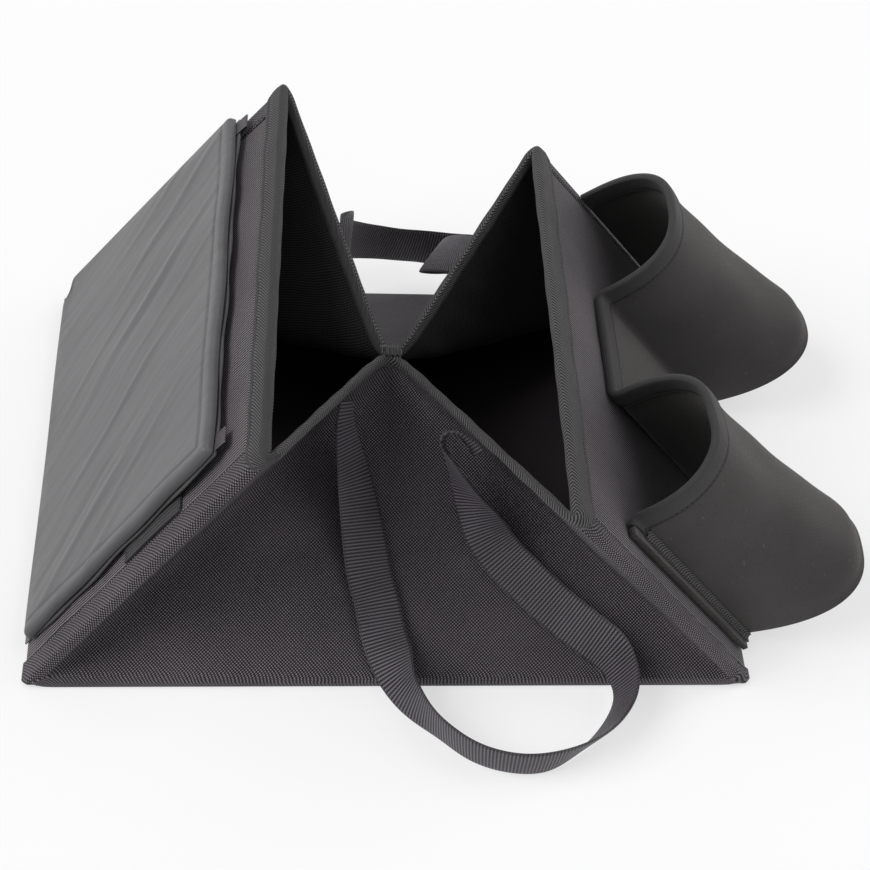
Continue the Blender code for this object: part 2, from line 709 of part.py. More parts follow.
def build_cup_seam_tape():
    """The tape over the sleeve's seam, down the front cup's front side from its rim tape."""
    heights = sleeve_heights()[:-1]
    heights[-1] -= 2 * CLEARANCE
    first = 1 + FILLET_STEPS
    covered = slice(first, first + SEAM_TAPE_STEPS)
    paths = [beside(sleeve_path(up)[covered], NEOPRENE / 2 + CLEARANCE + SEAM_TAPE / 2) for up in heights]

    def surface(i, j):
        along, out = paths[j][i]
        return wall_point("right", along, heights[j], out)

    cloth("cup_seam_tape", 1, len(heights) - 1, surface, SEAM_TAPE, TWILL)


# Padded flap, in along, up and out from its own inner side

def flap_place(point):
    """The flap lies along the left wall and stands off it more towards its top."""
    out = FLAP_STANDOFF + FLAP_RISE * point[1] / FLAP_HEIGHT + point[2]
    return wall_point("left", point[0], point[1], out)


def flap_extent():
    return FLAP_FRONT, BASE_DEPTH - FLAP_BACK_MARGIN


def build_flap():
    x0, x1 = flap_extent()
    y0, y1 = FLAP_BOTTOM, FLAP_BOTTOM + FLAP_HEIGHT
    inset = CLOTH + CLEARANCE
    board_out = FLAP_THICKNESS - inset
    tray("flap_cover", (x0, y0, 0), (x1, y1, FLAP_THICKNESS), CLOTH, "top", flap_place, NYLON)
    flat_block("flap_board", (x0 + inset, y0 + inset, board_out - FLAP_BOARD),
               (x1 - inset, y1 - inset, board_out), flap_place, PLASTIC_BOARD)
    flat_block("flap_backing", (x0 + inset, y0 + inset, 0),
               (x1 - inset, y1 - inset, board_out - FLAP_BOARD - CLEARANCE), flap_place, LINING_CLOTH)


def build_flap_fastening():
    """Hook strip on the flap's inner side and the loop strip that it meets on the wall."""
    x0, x1 = flap_extent()
    top = FLAP_BOTTOM + FLAP_HEIGHT - HOOK_BELOW_TOP
    low, high = x0 + HOOK_END_MARGIN, x1 - HOOK_END_MARGIN
    flat_block("flap_hook_strip", (low, top - HOOK_WIDTH, -CLEARANCE - HOOK_STRIP),
               (high, top, -CLEARANCE), flap_place, HOOK_LOOK)
    on_wall = lambda point: lay_on_wall("left", point)
    flat_block("wall_loop_strip", (low, top - HOOK_WIDTH, CLEARANCE),
               (high, top, CLEARANCE + HOOK_STRIP), on_wall, HOOK_LOOK)


def build_flap_tabs():
    """The folded ends of the flap's top hem, standing past its two top corners."""
    width, height, thickness = FLAP_TAB
    x0, x1 = flap_extent()
    top = FLAP_BOTTOM + FLAP_HEIGHT + FLAP_TAB_REACH
    for name, low in (("front_flap_tab", x0 + FLAP_TAB_INSET),
                      ("back_flap_tab", x1 - width - FLAP_TAB_INSET)):
        flat_block(name, (low, top - height, -CLEARANCE - thickness), (low + width, top, -CLEARANCE),
                   flap_place, NYLON, cuts=(2, 2))


def build_flap_hinge():
    """The cloth strip that carries the flap: flat on the wall's foot, then out under the flap."""
    x0, x1 = flap_extent()[0], BASE_DEPTH - SEAM_ALLOWANCE - CLEARANCE
    lip = FLAP_BOTTOM - CLEARANCE - LINING / 2
    near = CLEARANCE + LINING / 2
    path = [(FLAP_HINGE_START, near)]
    path += [(lip + along, near + out) for along, out in FLAP_HINGE_BENDS]
    path.append((lip, FLAP_STANDOFF + FLAP_LIP))
    columns = 6

    def surface(i, j):
        up, out = path[j]
        return wall_point("left", x0 + (x1 - x0) * i / columns, up, out)

    cloth("flap_hinge_cloth", columns, len(path) - 1, surface, LINING, NYLON)


def build_elastic_tab():
    """A short ribbed elastic sewn beside the wall's front seam."""
    width, height, thickness = ELASTIC_TAB
    x0 = SEAM_ALLOWANCE + CLEARANCE
    place = lambda point: lay_on_wall("left", point)
    flat_block("elastic_tab", (x0, ELASTIC_TAB_HEIGHT, CLEARANCE),
               (x0 + width, ELASTIC_TAB_HEIGHT + height, CLEARANCE + thickness), place, ELASTIC, cuts=(1, 4))


# Assembly

def place_flap_on_hinge():
    """Give the flap's pieces an empty on their hinge line, the flap's outer lower edge."""
    x0, x1 = flap_extent()
    hinge = bpy.data.objects.new("flap_hinge_axis", None)
    bpy.data.collections[COLLECTION].objects.link(hinge)
    hinge.empty_display_size = 0.02
    point = flap_place(((x0 + x1) / 2, FLAP_BOTTOM, FLAP_THICKNESS))
    hinge.location = Vector(point)
    for name in ("flap_cover", "flap_board", "flap_backing", "flap_hook_strip", "front_flap_tab",
                 "back_flap_tab"):
        piece = bpy.data.objects[name]
        for vertex in piece.data.vertices:
            vertex.co -= hinge.location
        piece.parent = hinge


def build():
    clear_scene()
    if COLLECTION not in bpy.data.collections:
        bpy.context.scene.collection.children.link(bpy.data.collections.new(COLLECTION))
    build_base()
    for side in ("left", "right"):
        build_wall(side)
        build_hinge_cloth(side)
        build_wall_tape(side)
    for end in ("front", "back"):
        build_gusset(end)
        build_gusset_tape(end)
    build_centre_tack()
    build_handle("front_handle", FRONT_ROUTE)
    build_handle("back_handle", BACK_ROUTE)
    build_cup_sleeve()
    build_cup_tape()
    for name, span in cup_spans().items():
        build_cup_bottom(f"{name}_cup_bottom", span)
    build_cup_seam_tape()
    build_flap()
    build_flap_fastening()
    build_flap_tabs()
    build_flap_hinge()
    build_elastic_tab()
    place_flap_on_hinge()


build()
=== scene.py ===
"""How the collapsible car organizer looks: cloth, binding, webbing, neoprene and padding.

Units are metres, in the model's own frame: X to the right, Y away, Z up.
"""
import math

import bpy
import numpy as np
from mathutils import Matrix


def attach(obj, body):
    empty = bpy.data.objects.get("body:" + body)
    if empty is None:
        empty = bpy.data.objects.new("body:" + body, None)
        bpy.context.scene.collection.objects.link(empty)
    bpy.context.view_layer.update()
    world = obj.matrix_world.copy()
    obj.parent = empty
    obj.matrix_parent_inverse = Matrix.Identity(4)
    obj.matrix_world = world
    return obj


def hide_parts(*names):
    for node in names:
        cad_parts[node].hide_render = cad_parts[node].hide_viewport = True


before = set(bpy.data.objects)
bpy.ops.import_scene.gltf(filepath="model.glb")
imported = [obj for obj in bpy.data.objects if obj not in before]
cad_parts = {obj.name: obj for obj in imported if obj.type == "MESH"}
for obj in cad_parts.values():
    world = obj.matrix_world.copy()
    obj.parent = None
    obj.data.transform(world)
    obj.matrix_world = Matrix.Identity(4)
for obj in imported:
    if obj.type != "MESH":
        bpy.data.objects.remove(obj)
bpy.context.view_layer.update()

# The photographer's view: a long lens looking down at the open bag from the front.
# Two broad soft lamps stand at the left and the right, the left one brighter, under a dim
# ceiling. The floor is a seamless white table, itself faintly lit from below.

# The camera's place, the ways to its right, up and back, and its sensor and lens
CAMERA_AT = (-0.06369, -0.81349, 0.88351)
CAMERA_RIGHT, CAMERA_UP = (0.99683, -0.05056, 0.06156), (-0.00614, 0.72171, 0.69218)
CAMERA_BACK = (-0.07943, -0.69035, 0.7191)
SENSOR_MM, LENS_MM = 36.0, 82.76
ROOM_LIGHT = 0.30


def added(name, data):
    """A new object in the scene."""
    obj = bpy.data.objects.new(name, data)
    bpy.context.scene.collection.objects.link(obj)
    return obj


def placed(x, y, z, at):
    """The matrix that turns an object to three axes and puts it at a point."""
    return Matrix(np.vstack([np.column_stack([x, y, z, at]), [0, 0, 0, 1]]))


def unit(v):
    """Vectors at a length of 1."""
    return v / np.linalg.norm(v, axis=-1, keepdims=True)


def soft_sun(name, direction, strength, spread):
    """A distant lamp shining along direction, soft over an angle of spread degrees."""
    lamp = bpy.data.lights.new(name, "SUN")
    lamp.energy = strength
    lamp.angle = math.radians(spread)
    z = -unit(np.array(direction))
    x = unit(np.cross((0, 1, 0), z))
    added(name, lamp).matrix_world = placed(x, np.cross(z, x), z, np.zeros(3))


camera_data = bpy.data.cameras.new("camera")
camera_data.sensor_width = SENSOR_MM
camera_data.lens = LENS_MM
camera = added("camera", camera_data)
camera.matrix_world = placed(CAMERA_RIGHT, CAMERA_UP, CAMERA_BACK, CAMERA_AT)
bpy.context.scene.camera = camera
bpy.context.scene.view_settings.view_transform = "Standard"
soft_sun("left_softbox", (0.70, 0.16, -0.69), 1.80, 42)
soft_sun("right_softbox", (-0.66, -0.12, -0.73), 1.0, 50)


class Field:
    """A number that varies over a surface. Sums with it add nodes to its material."""

    def __init__(self, tree, socket):
        self.tree, self.socket = tree, socket

    def step(self, operation, *others):
        """One maths node, fed by this field and by others or plain numbers."""
        node = self.tree.nodes.new("ShaderNodeMath")
        node.operation = operation
        for slot, item in zip(node.inputs, (self,) + others):
            if isinstance(item, Field):
                self.tree.links.new(item.socket, slot)
            else:
                slot.default_value = item
        return Field(self.tree, node.outputs[0])

    def __add__(self, other):
        return self.step("ADD", other)

    def __sub__(self, other):
        return self.step("SUBTRACT", other)

    def __rsub__(self, other):
        return self * -1.0 + other

    def __mul__(self, other):
        return self.step("MULTIPLY", other)

    def __truediv__(self, other):
        return self.step("DIVIDE", other)

    def __pow__(self, other):
        return self.step("POWER", other)

    def __abs__(self):
        return self.step("ABSOLUTE")

    __radd__ = __add__
    __rmul__ = __mul__

    def sine(self):
        return self.step("SINE")

    def above(self, level):
        return self.step("GREATER_THAN", level)

    def at_most(self, other):
        return self.step("MINIMUM", other)

    def at_least(self, other):
        return self.step("MAXIMUM", other)

    def clipped(self):
        return self.at_least(0.0).at_most(1.0)


class Look:
    """One material, told by how it mirrors and by the other shader sockets that do not vary."""

    def __init__(self, name, specular, **same_all_over):
        self.material = bpy.data.materials.new(name)
        self.material.use_nodes = True
        self.tree = self.material.node_tree
        self.shader = self.tree.nodes["Principled BSDF"]
        self.shader.inputs["Specular IOR Level"].default_value = specular
        for socket, value in same_all_over.items():
            self.shader.inputs[socket.replace("_", " ").title()].default_value = value

    def node(self, kind, settings, sockets, output=0):
        """Any node but a sum: its type, its settings and its socket values."""
        node = self.tree.nodes.new(kind)
        for name, value in settings.items():
            setattr(node, name, value)
        for name, value in sockets.items():
            if isinstance(value, Field):
                self.tree.links.new(value.socket, node.inputs[name])
            else:
                node.inputs[name].default_value = value
        return Field(self.tree, node.outputs[output])

    def cloth_way(self):
        """Distance along and across the cloth, in millimetres, from the piece's own UV map."""
        uv = self.node("ShaderNodeUVMap", {"uv_map": "cloth"}, {})
        return self.split(uv)

    def split(self, vector):
        """The first two parts of a vector in metres, as millimetres."""
        apart = self.tree.nodes.new("ShaderNodeSeparateXYZ")
        self.tree.links.new(vector.socket, apart.inputs[0])
        return [Field(self.tree, socket) * 1000.0 for socket in apart.outputs[:2]]

    def place(self):
        """The piece's own coordinates, in metres."""
        return self.node("ShaderNodeTexCoord", {}, {}, "Object")

    def noise(self, size, detail=2.0, rough=0.5, at=None):
        """Soft random field from 0 to 1 whose blotches are about size metres across."""
        sockets = {"Vector": at or self.place(), "Scale": 1.0 / size, "Detail": detail, "Roughness": rough}
        return self.node("ShaderNodeTexNoise", {}, sockets)

    def shade(self, share, dark, light):
        """A colour between two greys or colours."""
        mix = self.tree.nodes.new("ShaderNodeMix")
        mix.data_type = "RGBA"
        self.tree.links.new(share.socket, mix.inputs["Factor"])
        mix.inputs[6].default_value = (*dark, 1.0)
        mix.inputs[7].default_value = (*light, 1.0)
        return Field(self.tree, mix.outputs[2])

    def finish(self, share, dark, light, roughness, height, depth):
        """Connect what varies: colour, roughness, and a height field depth metres tall."""
        self.tree.links.new(self.shade(share, dark, light).socket, self.shader.inputs["Base Color"])
        self.tree.links.new(roughness.socket, self.shader.inputs["Roughness"])
        bump = self.node("ShaderNodeBump", {}, {"Height": height, "Strength": 1.0, "Distance": depth})
        self.tree.links.new(bump.socket, self.shader.inputs["Normal"])
        return self.material


def make_floor():
    """A pale table that keeps the shadows, and a white surround for what the table misses."""
    bpy.ops.mesh.primitive_plane_add(size=12.0)
    floor = bpy.context.object
    floor.name = "table"
    look = Look("table", 0.2, roughness=0.9, emission_color=(1.0, 1.0, 1.0, 1.0), emission_strength=0.60)
    grain = look.noise(0.4, 3.0)
    look.tree.links.new(look.shade(grain, (0.38, 0.38, 0.385), (0.42, 0.42, 0.425)).socket,
                        look.shader.inputs["Base Color"])
    floor.data.materials.append(look.material)
    world = bpy.data.worlds.new("room")
    bpy.context.scene.world = world
    world.use_nodes = True
    tree = world.node_tree
    paths = tree.nodes.new("ShaderNodeLightPath").outputs
    seen = Field(tree, paths["Is Camera Ray"]).at_least(Field(tree, paths["Is Glossy Ray"]))
    seen = seen.at_least(Field(tree, paths["Is Transmission Ray"]))
    strength = seen * (1.0 - ROOM_LIGHT) + ROOM_LIGHT
    tree.links.new(strength.socket, tree.nodes["Background"].inputs["Strength"])
    tree.nodes["Background"].inputs["Color"].default_value = (1.0, 1.0, 1.0, 1.0)


make_floor()


# The stiff base and the two side walls. Each wall is a plastic sheet in a sleeve of ribbed
# polyester, sewn along its edges and hinged to the base by the same cloth.

# The base's width and depth, and a wall's height up its slant
WIDTH, DEPTH, SLANT = 0.400, 0.313, 0.203
OUTWARD = {"left": -1.0, "right": 1.0}
# Each rim corner, by side and end (0 front, 1 back): lean in degrees, slide and slack
CORNERS = {
    ("left", 0): (51.8, 0.0175, 0.007), ("left", 1): (48.5, 0.0183, 0.007),
    ("right", 0): (54.9, -0.0216, -0.001), ("right", 1): (54.4, -0.0325, -0.014)}


def rim_corner(side, end):
    """A wall's top corner: it leans in, slides along the depth and slackens up its slant."""
    lean, slide, slack = CORNERS[(side, end)]
    slant = SLANT + slack
    x = OUTWARD[side] * (WIDTH / 2 - slant * math.cos(math.radians(lean)))
    return np.array([x, (end - 0.5) * DEPTH + slide, slant * math.sin(math.radians(lean))])


def wall(side, along, up, out):
    """Points on a wall: along from its front edge, up its slant, out from its outer face."""
    along, up, out = np.broadcast_arrays(np.asarray(along, float), up, out)
    s, t = (along / DEPTH)[..., None], (up / SLANT)[..., None]
    outward = OUTWARD[side]
    foot_front, foot_back = (np.array([outward * WIDTH / 2, y, 0.0]) for y in (-DEPTH / 2, DEPTH / 2))
    rim_front, rim_back = rim_corner(side, 0), rim_corner(side, 1)
    foot = foot_front * (1 - s) + foot_back * s
    rim = rim_front * (1 - s) + rim_back * s
    run = (foot_back - foot_front) * (1 - t) + (rim_back - rim_front) * t
    normal = unit(np.cross(run, rim - foot) * -outward)
    normal = np.where(normal[..., :1] * outward < 0, -normal, normal)
    return foot * (1 - t) + rim * t + out[..., None] * normal


def smooth(x, low, high):
    """0 below low, 1 above high, and an even S-curve between."""
    q = np.clip((x - low) / (high - low), 0.0, 1.0)
    return q * q * (3 - 2 * q)


def ripple(x, y, seed, size):
    """A gentle uneven surface from -1 to 1: a few crossing waves about size long."""
    waves = np.random.default_rng(seed).uniform(0, 1, (7, 3))
    total = np.zeros(np.broadcast(x, y).shape)
    for turn, stretch, phase in waves:
        angle, length = math.pi * turn, size * (0.6 + 0.9 * stretch)
        total += np.sin((x * math.cos(angle) + y * math.sin(angle)) * 2 * math.pi / length + 6.3 * phase)
    return total / len(waves) ** 0.5 / 1.5


def measured(points):
    """How far each grid point lies along its row and up its column, in metres of cloth."""
    across = np.linalg.norm(np.diff(points, axis=1), axis=-1).cumsum(axis=1)
    upward = np.linalg.norm(np.diff(points, axis=0), axis=-1).cumsum(axis=0)
    return np.stack([np.pad(across, ((0, 0), (1, 0))), np.pad(upward, ((1, 0), (0, 0)))], axis=-1)


def quads(index):
    """The faces of a grid of point numbers."""
    return np.stack([index[:-1, :-1], index[1:, :-1], index[1:, 1:], index[:-1, 1:]], axis=-1).reshape(-1, 4)


def mesh_piece(name, points, faces, look, body, stands_for, uv=None, sharp=50):
    """A closed mesh put on its body in place of its plain solid. Its faces are turned outwards,
    so that the tetrahedra between them and the origin add up to a volume above zero.
    """
    a, b, c, d = np.moveaxis(points[faces], 1, 0)
    if np.sum(a * (np.cross(b, c) + np.cross(c, d))) < 0:
        faces = faces[:, ::-1]
    mesh = bpy.data.meshes.new(name)
    mesh.from_pydata(points.tolist(), [], faces.tolist())
    if uv is not None:
        layer = mesh.uv_layers.new(name="cloth")
        layer.data.foreach_set("uv", uv[faces.ravel()].astype(np.float32).ravel())
    mesh.polygons.foreach_set("use_smooth", np.ones(len(faces), bool))
    mesh.set_sharp_from_angle(angle=math.radians(sharp))
    mesh.materials.append(look)
    piece = added(name, mesh)
    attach(piece, body)
    if stands_for:
        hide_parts(*stands_for)
    return piece


def solid(name, outer, inner, look, stands_for=(), body="bag", uv=None, back=(0.0, 0.0)):
    """A closed piece between two grids of points, joined round their edges.

    The second grid's cloth coordinates are the first's, moved on by back.
    """
    rows, columns = outer.shape[:2]
    count = rows * columns
    index = np.arange(count).reshape(rows, columns)
    loop = np.concatenate([index[0, :-1], index[:-1, -1], index[-1, :0:-1], index[:0:-1, 0]])
    after = np.roll(loop, -1)
    sides = np.stack([loop, after, after + count, loop + count], axis=1)
    faces = np.vstack([quads(index), quads(index + count)[:, ::-1], sides])
    points = np.concatenate([outer.reshape(-1, 3), inner.reshape(-1, 3)])
    uv = (measured(outer) if uv is None else uv).reshape(-1, 2)
    uv = np.concatenate([uv, uv + back])
    return mesh_piece(name, points, faces, look, body, stands_for, uv)


def rounded(x, low, high, radius):
    """How far a flat face drops near its ends, as a quarter circle of that radius."""
    near = np.clip(np.minimum(x - low, high - x), 0.0, radius)
    return radius - np.sqrt(np.maximum(radius ** 2 - (radius - near) ** 2, 0.0))


def round_off(near, low, radius):
    """How far a corner's edge is drawn in at a distance near along one side and low up the other."""
    height = np.sqrt(np.maximum(radius ** 2 - (radius - np.clip(low, 0, radius)) ** 2, 0.0))
    return (radius - height) * np.exp(-(near / radius) ** 2)


def crowded(low, high, count, edge, edge_count):
    """Places from low to high, closer together within edge of each end."""
    return np.concatenate([
        np.linspace(low, low + edge, edge_count, endpoint=False),
        np.linspace(low + edge, high - edge, count, endpoint=False),
        np.linspace(high - edge, high, edge_count + 1)])


# How far the cloth coordinates of a sheet's inner face are moved on, in metres
BACK_SHIFT = 20.0


def canvas_look(name, ribs, colour, inside):
    """Ribbed polyester: bundles of yarn 1.9 to 2.0 mm apart, with ribs from 0 (even) to 1 (one way).

    The coated back of the cloth is a smoother face, painted darker, a share inside as bright, as painted
    shade for the bag's dark inside.
    """
    look = Look(name, 0.3, sheen_weight=0.06, sheen_roughness=0.4, sheen_tint=(0.9, 0.87, 0.93, 1.0))
    u, v = look.cloth_way()
    back = u.above(BACK_SHIFT * 500.0)
    wobble = (look.noise(0.008, 1.0) - 0.5) * 0.8
    warp, weft = ((u + wobble) * math.pi / 0.95).sine(), ((v + wobble) * math.pi / 1.0).sine()
    over = warp * weft
    height = over * (0.5 - 0.42 * ribs) + warp * (0.5 * ribs) + 0.5
    fuzz = look.noise(0.0005, 2.0)
    patch = look.noise(0.05, 2.0)
    light = (height * 3.2 + fuzz * 0.9 + patch * 0.7 - 2.4).clipped()
    # Painted shade: the cloth's back face, which lines the bag's dark inside, is darkened to the share inside
    # as bright.
    light = light * (1.0 - back * (1.0 - inside))
    return look.finish(light, tuple(c * 0.03 for c in colour), tuple(c * 4.9 for c in colour),
                       fuzz * 0.15 + 0.62, (height + fuzz * 0.3) * (1.0 - back * 0.7), 0.00030)


def placed_canvas_look(name, colour, depth):
    """A plain weave for flat pieces kept from the frame, laid out from their own X and Y."""
    look = Look(name, 0.3, sheen_weight=0.08)
    x, y = look.split(look.place())
    over = (x * math.pi).sine() * (y * math.pi).sine()
    fuzz = look.noise(0.0005, 2.0)
    height = abs(over) ** 0.6 + fuzz * 0.3
    light = (height * 0.5 + look.noise(0.06, 2.0) * 0.3).at_most(1.0)
    return look.finish(light, tuple(c * 0.5 for c in colour), tuple(c * 1.5 for c in colour),
                       fuzz * 0.15 + 0.7, height, depth)


def board_look():
    """Black plastic sheet, faintly streaked from extrusion."""
    look = Look("board", 0.5)
    x, y = look.split(look.place())
    streak = look.noise(0.004, 3.0)
    return look.finish(streak, (0.012, 0.012, 0.012), (0.028, 0.028, 0.028), streak * 0.2 + 0.4,
                       streak + (x * 2.0 + y * 0.1).sine() * 0.1, 0.00005)


def dress(node, look):
    """Give a kept node of the frame its finished material."""
    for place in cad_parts[node].material_slots:
        place.material = look


canvas = canvas_look("canvas", 0.0, (0.048, 0.0425, 0.048), 0.25)
ribbed_canvas = canvas_look("ribbed_canvas", 0.85, (0.054, 0.049, 0.053), 0.25)
dark_lining = placed_canvas_look("lining", (0.030, 0.024, 0.028), 0.0001)
board = board_look()
for node in ("base_board", "left_wall_board", "right_wall_board", "flap_board"):
    dress(node, board)
for node in ("base_lining", "left_wall_lining", "right_wall_lining", "flap_backing"):
    dress(node, dark_lining)
dress("base_cover", placed_canvas_look("base_canvas", (0.045, 0.043, 0.046), 0.0002))

# Where a cover ends at the wall's front and back, its foot and its top, and its inner face
WALL_END, WALL_FOOT, WALL_TOP, COVER_BACK = 0.0015, 0.0012, 0.2017, -0.0034
# How far the gussets' turned edges reach over each wall, and how the bottom corners are rounded
FLANGE = {"left": 0.0160, "right": 0.0105}
CORNER_RADIUS = 0.007


def build_wall_cover(side):
    """The sleeve over the board. It sinks under the gussets' turned edges and the hinge rounds off."""
    along = crowded(WALL_END, DEPTH - WALL_END, 90, 0.020, 24)
    height = crowded(WALL_FOOT, WALL_TOP, 56, 0.014, 12)
    a, h = np.meshgrid(along, height)
    near_end = np.minimum(a, DEPTH - a)
    out = 0.0004 * ripple(a, h, 3 if side == "left" else 4, 0.07)
    out = out - 0.0011 * (1 - smooth(near_end, FLANGE[side] - 0.0004, FLANGE[side] + 0.0012))
    out = out - 0.0006 * smooth(h, 0.188, 0.190) - rounded(h, WALL_FOOT, WALL_TOP, 0.0022)
    inwards = np.where(a < DEPTH / 2, 1.0, -1.0) * round_off(near_end, h, CORNER_RADIUS)
    outer = wall(side, a + inwards, h, out)
    inner = wall(side, a + inwards, h, np.minimum(COVER_BACK, out - 0.001))
    for face, lowest in ((outer, 0.0009), (inner, 0.0003)):
        face[..., 2] = np.maximum(face[..., 2], lowest + 0.1 * (face[..., 2] - face[..., 2].min()))
    solid(f"{side}_wall_cloth", outer, inner, ribbed_canvas,
          (f"{side}_wall_cover", f"{side}_hinge_cloth"), uv=np.stack([a, h], axis=-1))


for side in ("left", "right"):
    build_wall_cover(side)


# Front and back gussets: one sheet of the same cloth each, folded along two soft lines from
# the bottom corners to the middle, where both are drawn together. Their edges turn round
# the walls and are topstitched to the outer face.

# The pinch, the distance of the two gussets there, and how softly a gusset folds at its rim and foot
CENTRE, CENTRE_GAP, SOFT, SOFT_FOOT = np.array([0.001, 0.002, 0.099]), 0.0044, 0.050, 0.008
# Where a gusset leaves the wall (along and out), then heights up the wall: foot, lip and rim
EDGE_ALONG, EDGE_OUT = 0.0007, -0.0051
FOOT_UP, FOLD_UP, RIM_UP = 0.0008, 0.0128, 0.202
# The line of stitches, inwards from a turned edge
STITCH_INSET = 0.0016


def joined(*spans):
    """Places along joined spans, each given as its start, end and count."""
    return np.unique(np.concatenate([np.linspace(*span) for span in spans]))


def normals_of(points):
    """Unit normals of a grid of points."""
    n = np.cross(np.gradient(points, axis=1), np.gradient(points, axis=0))
    return n / np.maximum(np.linalg.norm(n, axis=-1, keepdims=True), 1e-12)


def cloth(name, points, thickness, look, stands_for=(), body="bag", uv=None, back=(0.0, 0.0)):
    """A sheet of cloth, half its thickness to each side of a grid of points."""
    half = normals_of(points) * thickness / 2
    return solid(name, points + half, points - half, look, stands_for, body, uv, back)


def from_end(side, end, inset, up, out):
    """A wall point counted from the wall's front or back edge."""
    return wall(side, inset if end == 0 else DEPTH - np.asarray(inset), up, out)


def softly_below(d, softness):
    """The smaller of d and zero, rounded off over a distance."""
    return -softness * np.logaddexp(0.0, -d / softness)


def panel(end, s, t):
    """The gusset's panel: s from -1 to 1 across, t from 0 at the base to 1 at the rim."""
    s, t = (np.asarray(q, float)[..., None] for q in np.broadcast_arrays(s, t))
    foot, rim = ([from_end(side, end, EDGE_ALONG, up, EDGE_OUT) for side in ("left", "right")]
                 for up in (FOLD_UP, RIM_UP))
    target = CENTRE + np.array([0, (end - 0.5) * CENTRE_GAP, 0])
    pull = SOFT * math.log(2)
    apex = (target - pull * (rim[0] + rim[1])) / (1 - 2 * pull)
    half, middle = (foot[1] - foot[0]) / 2, (foot[1] + foot[0]) / 2
    softness = SOFT_FOOT + (SOFT - SOFT_FOOT) * t
    point = middle + s * half + t * (apex - middle)
    point = point + (apex - rim[0] - half) * softly_below(1 + s - t, softness)
    point = point + (apex - rim[1] + half) * softly_below(1 - s - t, softness)
    return point - np.array([0, 0, 0.004]) * 4 * t * (1 - t) * np.cos(s * math.pi / 2)


def panel_creases(end, s, t):
    """How far the cloth stands off its smooth shape: pleats at the pinch and slack below."""
    pinch = np.exp(-((1 - t) / 0.20) ** 2) * smooth(t, 0.0, 0.15)
    from_side, from_rim = 1 - np.abs(s), 1 - t
    pleats = 0.0013 * pinch * np.sin(s * 2 * math.pi / 0.15 + 1.0)
    pleats = pleats * smooth(from_side, 0.1, 0.75) * smooth(from_rim, 0.05, 0.16)
    slack = 0.0010 * ripple(s * 0.20, t * 0.19, 11 + end, 0.10)
    slack = slack * smooth(t, 0.0, 0.2) * smooth(from_rim, 0.05, 0.3)
    return (pleats + slack) * smooth(from_side, 0.0, 0.15)


def gusset_points(end):
    """A gusset as one grid: turned edges, the turns round the walls, the panel and its foot."""
    rise = joined((0, 0.10, 9), (0.10, 0.88, 44), (0.88, 1.0, 9))
    q = np.linspace(-1, 1, 133)
    s = np.sign(q) * np.abs(q) ** 1.35
    S, T = np.meshgrid(s, rise)
    middle = panel(end, S, T)
    middle += normals_of(middle) * panel_creases(end, S, T)[..., None]
    low = np.linspace(0, 1, 5)[:-1, None, None]
    foot_left, foot_right = (from_end(side, end, EDGE_ALONG, FOOT_UP, 0.0) for side in ("left", "right"))
    bottom = foot_left + (foot_right - foot_left) * ((s[:, None] + 1) / 2)
    lip = bottom * (1 - low) + middle[0] * low
    low_height = FOOT_UP + (FOLD_UP - FOOT_UP) * low[:, 0, 0]
    drawn_in = round_off((1 - np.abs(s)) * WIDTH / 2, low_height[:, None], CORNER_RADIUS)
    lip[..., 1] += (np.sin(low * math.pi)[..., 0] * 0.0006 - drawn_in) * (end * 2 - 1)
    middle = np.concatenate([lip, middle])
    height = np.concatenate([low_height, FOLD_UP + (RIM_UP - FOLD_UP) * rise])
    share = np.concatenate([low[:, 0, 0], np.ones(len(rise))])
    strips = {}
    for side in ("left", "right"):
        turn = np.linspace(0, math.pi / 2, 6)[1:]
        flat = FLANGE[side] - joined((0, 0.0032, 9), (0.0048, FLANGE[side] - 0.0030, 6))
        inset = np.concatenate([flat, 0.0007 + 0.0023 * (1 - np.sin(turn))])
        groove = 0.0008 * np.exp(-((flat - FLANGE[side] + STITCH_INSET) / 0.0006) ** 2)
        out = np.concatenate([-0.0001 - groove, -0.0001 - 0.0023 * (1 - np.cos(turn))])
        out[0] -= 0.0005
        deep = np.array([0.35, 0.7])
        inset = np.concatenate([inset, [EDGE_ALONG, EDGE_ALONG]])
        out = np.concatenate([out, out[-1] + (EDGE_OUT - out[-1]) * deep])
        drawn_in = round_off(inset[None, :], height[:, None], CORNER_RADIUS)
        strips[side] = from_end(side, end, inset + drawn_in, height[:, None], out[None, :] * share[:, None])
    return np.concatenate([strips["left"], middle, strips["right"][:, ::-1]], axis=1)


def build_gusset(end, word):
    """The gusset as a sheet, with cloth coordinates measured over it like the flat piece that it is cut from.
    """
    points = gusset_points(end)
    points = points if end == 0 else points[:, ::-1]
    uv = measured(points)
    across, upward = np.diff(points, axis=1)[:-1], np.diff(points, axis=0)[:, :-1]
    piece = cloth(f"{word}_gusset_cloth", points, 0.0010, canvas, (f"{word}_gusset",), uv=uv,
                  back=(BACK_SHIFT, 0.0))


for end, word in ((0, "front"), (1, "back")):
    build_gusset(end, word)


# Rim binding: one twill tape folded over the raw edges all round both mouths. It is wide and
# flat over the boarded walls and narrow and round along the gussets.

def twill_look():
    """Twill tape: ribs 2.4 mm apart slanting away from its middle, from where u is counted."""
    look = Look("twill", 0.3, sheen_weight=0.08, sheen_roughness=0.4)
    u, v = look.cloth_way()
    wobble = (look.noise(0.010, 1.0) - 0.5) * 0.8
    rib = ((v + abs(u) * 0.8 + wobble) * math.pi / 1.2).sine() * 0.5 + 0.5
    fuzz = look.noise(0.0006, 2.0)
    height = rib + fuzz * 0.35
    light = (height * 2.4 + look.noise(0.03, 2.0) * 0.4 - 1.45).clipped()
    return look.finish(light, (0.003, 0.003, 0.003), (0.108, 0.103, 0.107),
                       fuzz * 0.15 + 0.62, height, 0.00028)


twill = twill_look()
